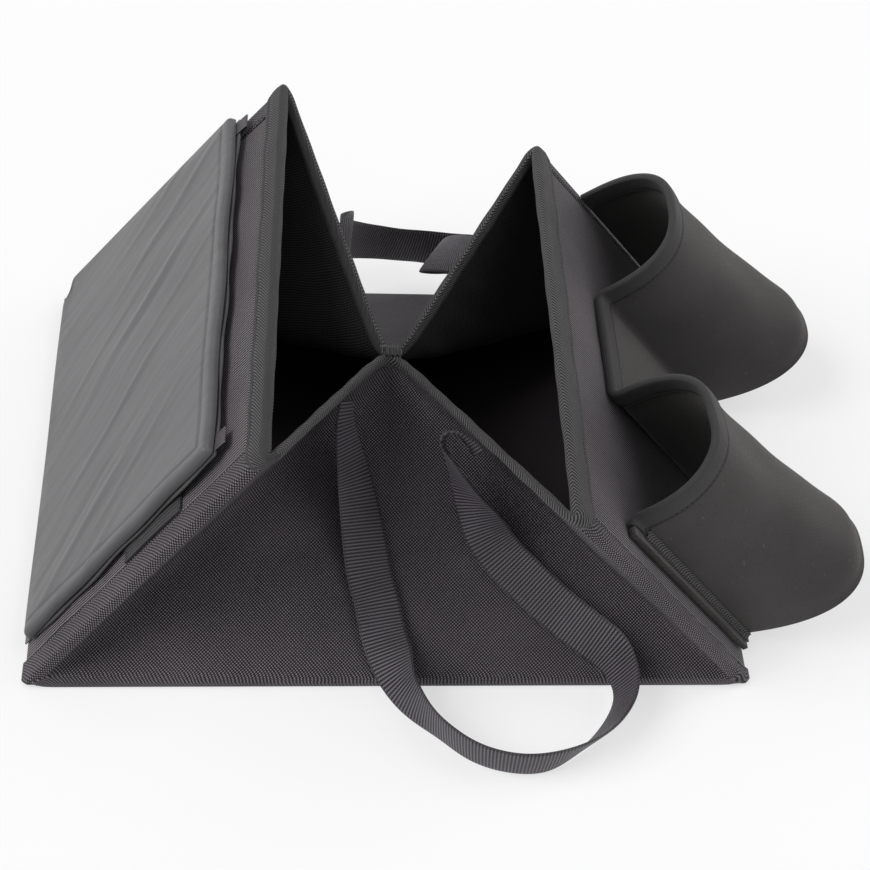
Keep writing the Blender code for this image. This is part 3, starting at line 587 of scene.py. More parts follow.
# Half the tape's thickness over a wall and in the piping, its leg, and its stitches' drop
WALL_HALF, PIPING_HALF, TAPE_LEG, TAPE_STITCH = 0.0037, 0.0022, 0.0108, 0.0082


def way_out(place, *at):
    """The way out from a wall, by a function that places points on it and a spot on its face."""
    return place(*at, 0.01) - place(*at, 0.0)


def closed(rows):
    """Rows with the first one again at their end."""
    return np.concatenate([rows, rows[:1]])


def rim_stations():
    """The rim's closed run: for each place its point, outward side, downward way and half width."""
    def wall_run(side, forwards):
        along = np.linspace(0.0065, DEPTH - 0.0065, 60)
        along = along if forwards else along[::-1]
        top = wall(side, along, RIM_UP, -0.0016)
        down = wall(side, along, RIM_UP - 0.01, -0.0016) - top
        return top, unit(way_out(wall, side, along, RIM_UP)), unit(down), np.full(len(along), WALL_HALF)

    def gusset_run(end, forwards):
        q = np.linspace(-1, 1, 110)
        s = 0.955 * np.sign(q) * np.abs(q) ** 1.4
        s = s if forwards else s[::-1]
        top = panel(end, s, 1.0)
        down = unit(panel(end, s, 0.94) - top)
        out = unit(np.cross(np.gradient(top, axis=0), down))
        away = (end * 2 - 1) * np.array([0, 1.0, -0.4])
        return top, out * np.sign(out @ away)[:, None], down, np.full(len(s), PIPING_HALF)

    runs = [gusset_run(0, True), wall_run("right", True), gusset_run(1, False), wall_run("left", False)]
    corners = [("right", 0), ("right", 1), ("left", 1), ("left", 0)]
    parts = []
    for run, after, (side, end) in zip(runs, runs[1:] + runs[:1], corners):
        tip, beyond, edge = (from_end(side, end, inset, RIM_UP, -0.0028) for inset in (0.0012, -0.01, 0.0))
        f = np.linspace(0, 1, 13)[1:-1, None]
        first, last = [item[-1] for item in run], [item[0] for item in after]
        bend = 2 * tip - (first[0] + last[0]) / 2
        point = first[0] * (1 - f) ** 2 + bend * 2 * f * (1 - f) + last[0] * f ** 2
        out = first[1] * (1 - f) ** 2 + unit(beyond - edge) * 2.4 * f * (1 - f) + last[1] * f ** 2
        down, half = (first[k] * (1 - f) + last[k] * f for k in (2, 3))
        parts += [run, (point, unit(out), unit(down), half[:, 0])]
    return [np.concatenate(items) for items in zip(*parts)]


def piping(half):
    """0 where the tape lies flat over a wall, 1 where it rolls into piping along a gusset."""
    return np.clip((WALL_HALF - half) / (WALL_HALF - PIPING_HALF), 0.0, 1.0)


def tape_section(half):
    """A folded tape's outline for each station as (sideways, down), from edge to edge."""
    q = np.linspace(0, 1, 16)
    half = half[:, None]
    thin = piping(half)
    drop = (TAPE_LEG - 0.0052 * thin) * (1 - q)
    groove = 0.0007 * np.exp(-(((1 - q) * TAPE_LEG - TAPE_STITCH) / 0.0007) ** 2) * (1 - thin)
    hug = (half - 0.0010) * (1 - smooth(q, 0.0, 0.55)) * thin
    spread = half + 0.0004 * np.sin(q * math.pi) - groove - hug
    angle = np.linspace(0, math.pi, 15)[1:-1]
    cap_side = half * np.sign(np.cos(angle)) * np.abs(np.cos(angle)) ** 0.8
    cap_down = np.minimum(half, 0.0024) * -np.abs(np.sin(angle)) ** 0.8
    sideways = np.concatenate([spread, cap_side, -spread[:, ::-1]], axis=1)
    return sideways, np.concatenate([drop, cap_down, drop[:, ::-1]], axis=1)


def build_rim_binding():
    """The tape as one ring: its section carried round the rim's stations, a little unevenly."""
    point, out, down, half = rim_stations()
    sideways, drop = tape_section(half)
    place = np.arange(len(half))[:, None]
    uneven = 0.00018 * np.sin(place * 0.9) + 0.00015 * np.sin(place * 0.37 + 1.0)
    sideways = sideways + uneven * np.sign(sideways)
    outer = closed(point[:, None] + out[:, None] * sideways[..., None] + down[:, None] * drop[..., None])
    uv = measured(outer)
    uv[..., 0] -= uv[:, uv.shape[1] // 2, 0][:, None]
    normal = normals_of(outer)
    from_core = outer - closed(point + down * 0.003)[:, None]
    inner = outer - normal * np.sign(np.sum(normal * from_core, axis=-1).mean()) * 0.0008
    rows, columns = outer.shape[:2]
    count = (rows - 1) * columns
    index = closed(np.arange(count).reshape(rows - 1, columns))
    edges = [np.stack([e[:-1], e[1:], e[1:] + count, e[:-1] + count], axis=1)
             for e in (index[:, 0][::-1], index[:, -1])]
    faces = np.vstack([quads(index), quads(index + count)[:, ::-1]] + edges)
    points = np.concatenate([outer[:-1].reshape(-1, 3), inner[:-1].reshape(-1, 3)])
    uv = np.tile(uv[:-1].reshape(-1, 2), (2, 1))
    stands_for = [f"{word}_rim_tape" for word in ("left", "right", "front", "back")]
    mesh_piece("rim_binding", points, faces, twill, "bag", stands_for, uv)
    return point, out, down, half


rim = build_rim_binding()


# Sewing: black polyester thread, lockstitched at seven to eight stitches to the inch along the
# binding's lower edge, the turned edges and the cup rims, with a bar tack at the pinch.

def thread_look():
    """Twisted black thread, a little glossy."""
    look = Look("thread", 0.4, sheen_weight=0.2)
    twist = look.noise(0.0006, 1.0)
    return look.finish(twist, (0.018, 0.018, 0.019), (0.075, 0.075, 0.080),
                       twist * 0.2 + 0.5, twist, 0.0001)


thread = thread_look()


def capsule():
    """Points and faces of one stitch: a six-sided bead along X from -0.5 to 0.5."""
    x = np.array([-0.5, -0.40, 0.0, 0.40, 0.5])
    radius = np.array([0.25, 0.8, 1.0, 0.8, 0.25])
    angle = np.linspace(0, 2 * math.pi, 6, endpoint=False)
    ring = np.stack([np.zeros(6), np.cos(angle), np.sin(angle)], axis=1)
    points = ring[None] * radius[:, None, None]
    points[..., 0] = x[:, None]
    index = np.arange(30).reshape(5, 6)
    index = np.hstack([index, index[:, :1]])
    caps = np.array([[0, 1, 2, 3], [0, 3, 4, 5], [24, 27, 26, 25], [24, 29, 28, 27]])
    return points.reshape(-1, 3), np.vstack([quads(index), caps])


THREAD_RADIUS = 0.00024


def walked(path):
    """How far each point of a path lies along it."""
    return np.concatenate([[0], np.linalg.norm(np.diff(path, axis=0), axis=1).cumsum()])


def picked(rows, far, places):
    """Rows in between the given ones, at places along a path with its points far along it."""
    return np.stack([np.interp(places, far, column) for column in rows.T], axis=1)


def square_to(ahead, vectors):
    """Unit vectors, turned square to the way ahead."""
    return unit(vectors - ahead * np.sum(vectors * ahead, axis=1, keepdims=True))


def sew(name, path, outward, pitch=0.0036, length=0.0030):
    """Separate stitches along a path of points, each sunk a little into the cloth."""
    far = walked(path)
    places = np.arange(pitch, far[-1] - pitch / 2, pitch)
    at = picked(path, far, places)
    ahead = unit(picked(path, far, places + 0.001) - at)
    up = square_to(ahead, picked(outward, far, places))
    side = np.cross(ahead, up)
    shape, faces = capsule()
    arch = 1 - (2 * shape[:, 0]) ** 2
    lengths = shape[:, 0] * length
    sides, ups = shape[:, 1] * THREAD_RADIUS, (shape[:, 2] + arch * 0.7 - 0.5) * THREAD_RADIUS
    points = (at[:, None] + ahead[:, None] * lengths[:, None] + side[:, None] * sides[:, None]
              + up[:, None] * ups[:, None])
    offset = (np.arange(len(at)) * len(shape))[:, None, None]
    faces = (faces[None] + offset).reshape(-1, 4)
    mesh_piece(name, points.reshape(-1, 3), faces, thread, "bag", (), sharp=80)


def sew_rim():
    """One line near the binding's lower edge, on the outside."""
    point, out, down, half = rim
    thin = piping(half)
    path = point + out * (half - 0.0001 - 0.0008 * thin)[:, None]
    path = path + down * (TAPE_STITCH - 0.0040 * thin)[:, None]
    sew("rim_stitches", closed(path), closed(out))


def sew_turned_edges():
    """One line up each turned edge."""
    height = np.linspace(0.004, 0.188, 60)
    for side in ("left", "right"):
        for end, word in ((0, "front"), (1, "back")):
            path = from_end(side, end, FLANGE[side] - STITCH_INSET, height, -0.0002)
            sew(f"{side}_{word}_stitches", path, way_out(from_end, side, end, FLANGE[side], height))


def tube(name, path, radius, stands_for=()):
    """A loose thread: a round section carried along a path."""
    ahead = unit(np.gradient(path, axis=0))
    side = unit(np.cross(ahead, np.array([0.3, 0.2, 0.93])))
    up = np.cross(side, ahead)
    angle = np.linspace(0, 2 * math.pi, 8, endpoint=False)
    ring = np.cos(angle)[None, :, None] * side[:, None] + np.sin(angle)[None, :, None] * up[:, None]
    row = np.arange(len(path))
    taper = np.minimum(1, np.minimum(row, row[::-1]) / 2 + 0.15)
    points = path[:, None] + ring * (radius * taper)[:, None, None]
    index = np.arange(len(path) * 8).reshape(len(path), 8)
    index = np.hstack([index, index[:, :1]])
    last = (len(path) - 1) * 8
    caps = np.array([[0, 1, 2, 3], [0, 3, 4, 7], [4, 5, 6, 7]])
    faces = np.vstack([quads(index), caps, (caps + last)[:, ::-1]])
    mesh_piece(name, points.reshape(-1, 3), faces, thread, "bag", stands_for, sharp=80)


def build_centre_tack():
    """The bar tack: thread wound to and fro over both rims, and two loose ends."""
    turns = np.linspace(0, 22 * math.pi, 700)
    x = (turns / turns[-1] - 0.5) * 0.012
    y = np.sin(turns) * 0.0036
    z = np.cos(turns) * 0.0011 + 0.0008 * np.sin(turns * 0.37) + 0.0036
    path = CENTRE + np.stack([x, y, z], axis=1)
    tube("centre_tack_thread", path, 0.00045, ("centre_tack",))
    f = np.linspace(0, 1, 14)
    for k, sway in enumerate((-1, 1)):
        droop = 0.005 + 0.008 * f * (1 - f) - 0.004 * f
        loose = CENTRE + np.stack([sway * (0.003 + 0.004 * f), -0.002 - 0.009 * f, droop], axis=1)
        tube(f"loose_thread_{k}", loose, 0.0002)


sew_rim()
sew_turned_edges()
build_centre_tack()


# Handles: 25 mm ribbed polypropylene webbing, its ends sewn under the gussets' hems. The
# front one lies down the gusset and loops on the table, and the back one stands behind.

def webbing_look():
    """Woven strap: ribs across it 1.9 mm apart, each made of short yarn floats; its woven edges are flatter
    and painted lighter as a painted highlight.
    """
    look = Look("webbing", 0.45, sheen_weight=0.08, sheen_roughness=0.35, sheen_tint=(0.95, 0.88, 1.0, 1.0))
    u, v = look.cloth_way()
    strand = (u * math.pi / 0.9).sine()
    rib = abs(((v + strand * 0.10) * math.pi / 1.9).sine())
    selvedge_and_highlight = ((abs(u - 12.5) - 11.2) * 2.0).clipped()
    fuzz = look.noise(0.0005, 2.0)
    height = rib ** 0.7 * (1 - selvedge_and_highlight * 0.7) + abs(strand) * 0.15 + fuzz * 0.25
    # Both woven edges are painted much lighter here: a painted highlight along the strap's edges.
    light = (height * 3.4 + look.noise(0.02, 2.0) * 0.6 + selvedge_and_highlight * 1.7 - 3.36).clipped()
    return look.finish(light, (0.0, 0.0, 0.0), (0.132, 0.116, 0.137),
                       fuzz * 0.15 + 0.48, height, 0.00035)


webbing = webbing_look()
WEBBING_HALF = 0.0125

# The middle of the webbing in millimetres, then the way its width points
FRONT_ROUTE = [
    (-24.75, -36.8, 103.65, 0.30, 0.90, -0.33), (-25.5, -46.5, 92.5, 0.42, 0.79, -0.45),
    (-23, -56, 79, 0.60, 0.62, -0.50), (-19.5, -66, 64, 0.80, 0.33, -0.49),
    (-16.3, -80, 52, 0.94, 0.18, -0.28), (-12, -105.5, 35.5, 1.0, 0.0, 0.0),
    (-8, -119.5, 29.5, 1.0, 0.05, 0.0), (-5, -135, 22.5, 0.97, 0.12, 0.08), (-1, -149, 18.5, 0.8, 0.25, 0.35),
    (3, -162, 15.5, 0.5, 0.25, 0.75), (9, -174, 13.8, 0.25, 0.15, 0.95), (22, -191, 13.2, 0.0, -0.15, 0.97),
    (40, -208, 13.2, 0.0, -0.2, 0.98), (60, -216, 13.2, 0.0, -0.2, 0.98), (80, -216, 13.2, 0.0, -0.2, 0.98),
    (98, -208, 13.5, 0.2, -0.3, 0.93), (114, -195, 14, 0.35, -0.35, 0.86), (125, -178, 15, 0.45, -0.2, 0.87),
    (127, -163, 17, 0.40, 0.15, 0.9), (121, -149, 20, 0.30, 0.5, 0.8), (106, -137, 24.5, 0.30, 0.65, 0.7),
    (86, -121, 31.5, 0.35, 0.7, 0.6), (60, -99, 45.5, 0.5, 0.55, 0.67), (47.5, -90.5, 66, 0.35, -0.05, 0.92),
    (36.7, -82.8, 87, 0.10, -0.50, 0.85), (29, -76.7, 100.6, -0.04, -0.64, 0.76),
    (25.5, -73.5, 108.5, -0.07, -0.69, 0.72), (27.4, -71.5, 113.8, -0.08, -0.69, 0.72),
    (33, -72.2, 114, -0.08, -0.69, 0.72), (40, -76.1, 110, -0.12, -0.50, 0.85),
    (46.3, -81.8, 105, -0.25, -0.1, 0.96),
]
BACK_ROUTE = [
    (-37.1, 72, 98, 0.55, 0.15, 0.80), (-31, 87, 102, 0.35, 0.4, 0.84), (-22.5, 102, 102, 0.1, 0.5, 0.86),
    (-19, 114, 95, 0.1, 0.4, 0.91), (-24, 128, 80, 0.05, 0.2, 0.97), (-23, 144, 64, 0.0, 0.08, 0.99),
    (-14, 158, 50, 0.0, 0.05, 1.0), (0, 168, 40, 0.0, 0.02, 1.0),
    (16, 174, 33, 0.0, 0.02, 1.0), (34, 178, 28, 0.05, 0.1, 0.99), (52, 176, 26, 0.15, 0.3, 0.94),
    (64, 166, 32, 0.3, 0.5, 0.81), (60, 152, 44, 0.42, 0.55, 0.72), (46, 142, 52, 0.55, 0.50, 0.66),
    (34, 132, 60, 0.60, 0.48, 0.64), (33, 120, 72, 0.58, 0.45, 0.68), (42, 104, 87, 0.50, 0.40, 0.76),
    (58, 84, 102, 0.20, 0.25, 0.94),
]


def smooth_path(points, count):
    """Evenly spaced rows on a Catmull-Rom curve through the given rows."""
    p = np.vstack([2 * points[0] - points[1], points, 2 * points[-1] - points[-2]])
    f = np.linspace(0, 1, 24, endpoint=False)[:, None]
    a, b, c, d = p[:-3, None], p[1:-2, None], p[2:-1, None], p[3:, None]
    curve = 2 * b + (c - a) * f + (2 * a - 5 * b + 4 * c - d) * f ** 2
    curve = 0.5 * (curve + (-a + 3 * b - 3 * c + d) * f ** 3)
    curve = np.vstack([curve.reshape(-1, p.shape[1]), points[-1]])
    far = walked(curve[:, :3])
    return picked(curve, far, np.linspace(0, far[-1], count))


def build_handle(name, route, stands_for):
    """Webbing along its route, 25 mm wide and 1.5 mm thick, with soft rounded selvedges."""
    path = smooth_path(np.array(route, float), 330)
    kernel = np.hanning(15) / np.hanning(15).sum()
    path = np.pad(path, ((7, 7), (0, 0)), mode="edge")
    path = np.stack([np.convolve(column, kernel, "valid") for column in path.T], axis=1)
    middle = path[:, :3] / 1000
    ahead = unit(np.gradient(middle, axis=0))
    width = square_to(ahead, path[:, 3:])
    width, face = width[:, None], np.cross(width, ahead)[:, None]
    x = np.sin(np.linspace(-1, 1, 17) * math.pi / 2)[:, None]
    thick = face * (0.00075 * np.sqrt(1 - 0.75 * x ** 10))
    strip = middle[:, None] + width * (x * WEBBING_HALF) + face * (0.0004 * (x ** 2 - 0.5))
    uv = np.stack(np.meshgrid((x[:, 0] + 1) * WEBBING_HALF, walked(middle)), axis=-1)
    solid(name, strip + thick, strip - thick, webbing, stands_for, uv=uv)


build_handle("front_webbing", FRONT_ROUTE, ("front_handle",))
build_handle("back_webbing", BACK_ROUTE, ("back_handle",))


# Cup pockets: one piece of 3 mm neoprene with knitted faces forms both cups and the web
# between them. It is sewn to the wall, its foot is closed by two rounded bottoms, and its
# top edge is bound in ribbed elastic.

def neoprene_look():
    """Knit-faced neoprene: a very fine knit with soft blotches and a few specks of lint.

    The face inside the cups is painted almost black: painted shade for the cups' dark insides.
    """
    look = Look("neoprene", 0.2, sheen_weight=0.25, sheen_roughness=0.5, sheen_tint=(1.0, 0.97, 0.93, 1.0))
    u, v = look.cloth_way()
    knit = (u * math.pi / 0.45).sine() * (v * math.pi / 0.6).sine()
    fuzz = look.noise(0.0007, 3.0)
    cloud = look.noise(0.035, 3.0)
    lint = (look.noise(0.0026, 0.0) - 0.815).at_least(0.0) * 40.0
    height = knit * 0.35 + fuzz
    light = (fuzz * 0.5 + cloud * 0.45 + knit * 0.06 + lint.at_most(1.0) * 1.2 - 0.05).clipped()
    # Painted shade: the face inside the cups is darkened almost to black.
    light = light * (1.0 - u.above(BACK_SHIFT * 500.0) * 0.97)
    return look.finish(light, (0.013, 0.012, 0.012), (0.070, 0.0635, 0.0645),
                       fuzz * 0.1 + 0.78, height, 0.00018)


def elastic_look(name, pitch, contrast):
    """Ribbed elastic: rubber cords along it a pitch of millimetres apart, crossed by fine yarns."""
    look = Look(name, 0.3, sheen_weight=0.08)
    u, v = look.cloth_way()
    cord = (v * 2 * math.pi / pitch).sine() * 0.5 + 0.5
    cross = abs((u * math.pi / 0.9).sine())
    fuzz = look.noise(0.0006, 2.0)
    height = cord * contrast + cross * 0.35 + fuzz * 0.3
    light = (height * 0.7 + look.noise(0.02, 2.0) * 0.3 - 0.2 * contrast).clipped()
    return look.finish(light, (0.004, 0.004, 0.004), (0.055, 0.052, 0.056),
                       fuzz * 0.15 + 0.6, height, 0.0003)


neoprene, elastic = neoprene_look(), elastic_look("elastic", 1.3, 0.35)
# Along the wall: each cup's two ends. Up the wall: the sleeve's top and foot. Outwards: where the
# sleeve's middle lies against the wall. Then the turn's radius and half the neoprene's thickness.
CUPS = {"front": (0.032, 0.126), "rear": (0.213, 0.307)}
CUP_TOP, CUP_FOOT, CUP_SEAT = 0.148, 0.006, 0.0031
FILLET, NEOPRENE_HALF = 0.005, 0.0015
FLANGE_STEPS = 5


def cup_outline(span, up, steps=60):
    """A cup's section at one height: deeper and slid forward towards its foot, then tucked in."""
    share = np.clip(1 - (up - CUP_FOOT) / (CUP_TOP - CUP_FOOT), 0, 1) ** 2.2
    tuck = 1 - 0.055 * (1 - smooth(up, CUP_FOOT, 0.024)) ** 2
    depth = (0.057 + 0.028 * share) * tuck
    middle, half = (span[0] + span[1]) / 2, (span[1] - span[0]) / 2
    angle = math.pi * (1 - np.linspace(0, 1, steps))
    across = np.sign(np.cos(angle)) * np.abs(np.cos(angle)) ** 0.8
    outwards = np.maximum(0.0, np.sin(angle)) ** 0.8
    start = CUP_SEAT + FILLET
    seed = 21 if span == CUPS["front"] else 22
    slack = 0.0008 * ripple(across * 0.05, np.full_like(across, up), seed, 0.06) * outwards
    along = middle + half * across - 0.020 * share * outwards
    return np.stack([along, start + (depth - start) * outwards + slack], axis=1)


def fillet(corner, towards):
    """The rounded turn between the wall and a cup's end, from the wall outwards."""
    turn = np.linspace(0, math.pi / 2, 7)[:-1]
    along, out = corner + towards * FILLET * (1 - np.sin(turn)), CUP_SEAT + FILLET * (1 - np.cos(turn))
    return np.stack([along, out], axis=1)


def on_seat(start, end, count):
    """A straight run of the sleeve against the wall, as (along, out)."""
    return np.stack([np.linspace(start, end, count), np.full(count, CUP_SEAT)], axis=1)


def sleeve_path(up):
    """The neoprene's run at one height: flange, cup, web and cup, as (along, out)."""
    front, rear = CUPS["front"], CUPS["rear"]
    flange = on_seat(front[0] - 0.011, front[0] - FILLET - 0.001, FLANGE_STEPS)
    web = on_seat(front[1] + FILLET + 0.002, rear[0] - FILLET - 0.002, 30)
    web[:, 1] += 0.0035 * np.sin(np.linspace(0, math.pi, 30)) * np.clip((CUP_TOP - up) / 0.14, 0, 1)
    end = np.array([[rear[1], 0.0045], [rear[1], 0.0018]])
    return np.vstack([flange, fillet(front[0], -1), cup_outline(front, up), fillet(front[1], 1)[::-1],
                      web, fillet(rear[0], -1), cup_outline(rear, up), end])


def beside(path, offset):
    """The path moved sideways by an even distance, away from the cups' insides."""
    edges = unit(np.diff(path, axis=0))
    sides = np.stack([-edges[:, 1], edges[:, 0]], axis=1)
    before, after = np.vstack([sides[:1], sides]), np.vstack([sides, sides[-1:]])
    mitre = (before + after) / (1 + np.sum(before * after, axis=1))[:, None]
    return path + mitre * offset


def on_right_wall(paths, heights):
    """One row of points on the right wall for each path and its height."""
    paths = np.array(paths)
    return wall("right", paths[..., 0], np.asarray(heights)[:, None], paths[..., 1])


def build_cups():
    """The sleeve as a sheet, its two faces set off its middle, then the two bottoms."""
    heights = joined((CUP_FOOT, 0.03, 14), (0.03, 0.136, 30), (0.136, CUP_TOP, 8))
    outer, inner = (on_right_wall([beside(sleeve_path(h), offset) for h in heights], heights)
                    for offset in (NEOPRENE_HALF, -NEOPRENE_HALF))
    piece = solid("cup_neoprene", outer, inner, neoprene, ("cup_sleeve",), back=(BACK_SHIFT, 0.0))
    uv = measured(outer)
    for word, span in CUPS.items():
        build_cup_bottom(word, span)


def build_cup_bottom(word, span):
    """A cup's bottom: the sleeve's inner outline, filled, slightly bowed outwards."""
    rim_line = beside(cup_outline(span, CUP_FOOT + 0.0022), -0.0022)
    rim_line = np.vstack([[[rim_line[0, 0], 0.0025]], rim_line, [[rim_line[-1, 0], 0.0025]]])
    centre = np.array([rim_line[:, 0].mean(), 0.035])
    share = np.linspace(0.02, 1, 12)[:, None, None]
    flat = centre + (rim_line[None] - centre) * share
    bow = 0.0022 * (1 - share[..., 0] ** 2)
    low, high = (wall("right", flat[..., 0], up - bow, flat[..., 1]) for up in (0.0068, 0.0090))
    solid(f"{word}_cup_floor", low, high, neoprene, (f"{word}_cup_bottom",))


# The elastic's leg down each side of the sleeve, half its thickness, and its stitches' drop
BINDING_LEG, BINDING_HALF, BINDING_STITCH = 0.0118, 0.0025, 0.0100


def build_cup_binding():
    """Ribbed elastic folded over the sleeve's top edge in one length, with its sewn groove."""
    q = np.linspace(0, 1, 31)
    drop = BINDING_LEG * (1 - q)
    swell = 0.00030 * np.sin(q * math.pi) - 0.0009 * np.exp(-((drop - BINDING_STITCH) / 0.0006) ** 2)
    angle = np.linspace(0, math.pi, 11)[1:-1]
    leg = BINDING_HALF + swell
    sideways = np.concatenate([leg, BINDING_HALF * np.cos(angle), -leg[::-1]])
    down = np.concatenate([drop, -0.0017 * np.sin(angle), drop[::-1]])
    rows = []
    for offset, d in zip(sideways, down):
        along, out = beside(sleeve_path(CUP_TOP - max(d, 0.0))[FLANGE_STEPS:], offset).T
        rows.append(wall("right", along, CUP_TOP - d, np.maximum(out, 0.0006)))
    outer = np.array(rows)
    normal = normals_of(outer)
    top = len(drop) + len(angle) // 2
    inner = outer - normal * np.sign(normal[top, :, 2].mean()) * 0.0007
    solid("cup_binding", outer, inner, elastic, ("cup_rim_tape",))
    up = CUP_TOP - BINDING_STITCH
    path, beyond = (on_right_wall([beside(sleeve_path(up)[FLANGE_STEPS:], offset)], [up])[0]
                    for offset in (BINDING_HALF - 0.0001, 0.01))
    sew("cup_stitches", path, beyond - path, pitch=0.0032, length=0.0026)


def build_cup_seam_tape():
    """The tape down the front cup's first side, over the sleeve's seam."""
    heights = np.linspace(CUP_FOOT, 0.1355, 40)
    off = NEOPRENE_HALF + 0.0010 + 0.0002 * np.sin(heights * 900)
    strip = [beside(sleeve_path(h), offset)[3:12] for h, offset in zip(heights, off)]
    cloth("cup_seam_cover", on_right_wall(strip, heights), 0.0010, twill, ("cup_seam_tape",))


build_cups()
build_cup_binding()
build_cup_seam_tape()


# Padded flap: a board with thin wadding in smooth coated nylon, its hem folded under. It is
# hinged along the left wall's foot by its own cloth and held shut by hook and loop.

def nylon_look():
    """Smooth coated nylon: an almost invisible weave, faint pulled creases and a soft sheen."""
    look = Look("nylon", 0.5, coat_weight=0.05, coat_roughness=0.45, sheen_weight=0.1)
    u, v = look.cloth_way()
    weave = (u * math.pi / 0.35).sine() * (v * math.pi / 0.35).sine()
    slant = look.node("ShaderNodeCombineXYZ", {}, {"X": u * 0.001 - v * 0.0004, "Y": v * 0.00018})
    pull = look.noise(0.010, 3.0, 0.45, slant)
    cloud = look.noise(0.06, 2.0)
    light = (pull * 0.55 + cloud * 0.45).at_most(1.0)
    return look.finish(light, (0.050, 0.049, 0.052), (0.118, 0.117, 0.123), cloud * 0.14 + 0.36,
                       pull * 1.6 + weave * 0.03, 0.0005)


nylon = nylon_look()
# The flap's ends along the wall and up it, its length and height, and its thickness
FLAP_X, FLAP_Y, FLAP_THICK = (0.026, 0.309), (0.0092, 0.1705), 0.0056
FLAP_LENGTH, FLAP_HEIGHT = FLAP_X[1] - FLAP_X[0], FLAP_Y[1] - FLAP_Y[0]


def on_left_wall(along, up, out):
    """A point on the left wall."""
    return wall("left", along, up, out)


def on_flap(along, up, out):
    """A point of the flap, which stands off the left wall more towards its top."""
    return on_left_wall(along, up, 0.0022 + 0.0040 * np.asarray(up) / 0.1670 + out)


# Pulled creases: place along the flap, depth, half width and place up it
FLAP_CREASES = (
    (0.10, 0.0010, 0.012, 0.62), (0.065, -0.0007, 0.014, 0.55), (-0.12, 0.0009, 0.010, 0.45),
    (0.28, 0.0009, 0.014, 0.70), (-0.30, 0.0009, 0.013, 0.35), (-0.24, -0.0006, 0.012, 0.30),
    (0.40, 0.0007, 0.010, 0.80), (-0.43, 0.0009, 0.014, 0.25), (0.19, 0.0006, 0.009, 0.35),
    (-0.04, 0.0005, 0.008, 0.75), (-0.37, 0.0006, 0.008, 0.60))


def flap_swell(x, y):
    """The pad's outer face: padded, sunk at its edges, with slanting pulled creases."""
    crown = 0.0008 * np.sin(math.pi * x) * np.sin(math.pi * y)
    slack = 0.0007 * ripple(x * 0.28 + y * 0.1, y * 0.17 - x * 0.1, 31, 0.11)
    across = x - 0.5 - 0.42 * (y - 0.5)
    creases = 0.0
    for place, deep, wide, high in FLAP_CREASES:
        creases += deep * np.exp(-((across - place) / wide) ** 2 - ((y - high) / 0.28) ** 2)
    from_edge = np.minimum(x * FLAP_LENGTH, (1 - y) * FLAP_HEIGHT)
    hem = 0.0005 * (1 - smooth(from_edge, 0.003, 0.007))
    groove = 0.0009 * np.exp(-((from_edge - 0.0068) / 0.0011) ** 2)
    return crown + slack + creases + hem - groove


def build_flap():
    """The padded panel, its corner at the top back drawn in and its edges a little wavy."""
    along = crowded(*FLAP_X, 110, 0.010, 16)
    height = crowded(*FLAP_Y, 70, 0.010, 16)
    a, h = np.meshgrid(along, height)
    x, y = (a - FLAP_X[0]) / FLAP_LENGTH, (h - FLAP_Y[0]) / FLAP_HEIGHT
    corner = 0.010 * smooth(x, 0.93, 1.0) * smooth(1 - y, 0.93, 1.0)
    a = a - corner - 0.00054 * np.sin(y * 21 + 1.0) * (1 - smooth(x, 0.0, 0.05))
    h = h + corner * 0.6 + 0.0008 * np.sin(x * 17) * smooth(y, 0.94, 1.0)
    h = h - 0.0005 * np.sin(x * 9 + 1) * (1 - smooth(y, 0.0, 0.05))
    edge = rounded(along[None, :], *FLAP_X, 0.0026) + rounded(height[:, None], *FLAP_Y, 0.0026)
    within = np.minimum(np.minimum(x, 1 - x) * 0.28, np.minimum(y, 1 - y) * 0.167)
    out = FLAP_THICK + flap_swell(x, y) * smooth(within, 0.0, 0.01)
    outer = on_flap(a, h, np.maximum(out - edge, 0.0012))
    inner = on_flap(a, h, 0.0003)
    piece = solid("flap_pad", outer, inner, nylon, ("flap_cover", "flap_board", "flap_backing"),
                  "side_flap")
    build_flap_hem()


def build_flap_hem():
    """The folded hem that shows past the pad's front and top edges as a thin lip."""
    across = np.linspace(0, 1, 5)
    h, w = np.meshgrid(np.linspace(FLAP_Y[0], FLAP_Y[1] + 0.0008, 60), across)
    wave = 0.0006 * np.sin(h * 160) + 0.0005 * np.sin(h * 61 + 1)
    edge = FLAP_X[0] - 0.0012 + w * 0.006 + wave * (1 - w)
    front = on_flap(edge, h, -0.0012 + 0.0003 * np.sin(h * 90))
    cloth("flap_front_hem", front, 0.0008, nylon, body="side_flap")
    a, w = np.meshgrid(np.linspace(FLAP_X[0] - 0.0008, FLAP_X[1], 90), across)
    wave = 0.0006 * np.sin(a * 130 + 2) + 0.0004 * np.sin(a * 47)
    edge = FLAP_Y[1] + 0.0011 - w * 0.006 + wave * (1 - w)
    top = on_flap(a, edge, -0.0012 + 0.0003 * np.sin(a * 80))
    cloth("flap_top_hem", top, 0.0008, nylon, body="side_flap")


def build_flap_tabs():
    """The hem's folded ends: short loops of ribbed tape standing past the flap's top corners."""
    for name, low in (("front_flap_tab", 0.028), ("back_flap_tab", 0.295)):
        f, w = np.meshgrid(np.linspace(0, 1, 30), np.linspace(0, 1, 9))
        rise = FLAP_Y[1] - 0.008 + 0.0150 * np.sin(f * math.pi)
        out = -0.0018 - 0.0012 * np.cos(f * math.pi)
        points = on_flap(low + 0.012 * w + 0.0006 * np.sin(f * 5), rise, out)
        cloth(f"{name}_loop", points, 0.0008, webbing, (name,), "side_flap")


def pile_look():
    """Hook-and-loop tape: a dense mat of tiny loops."""
    look = Look("hook_and_loop", 0.2, sheen_weight=0.3)
    loops = look.noise(0.0009, 4.0, 0.7)
    return look.finish(loops, (0.006, 0.006, 0.006), (0.035, 0.035, 0.036), loops * 0.1 + 0.85, loops, 0.0009)


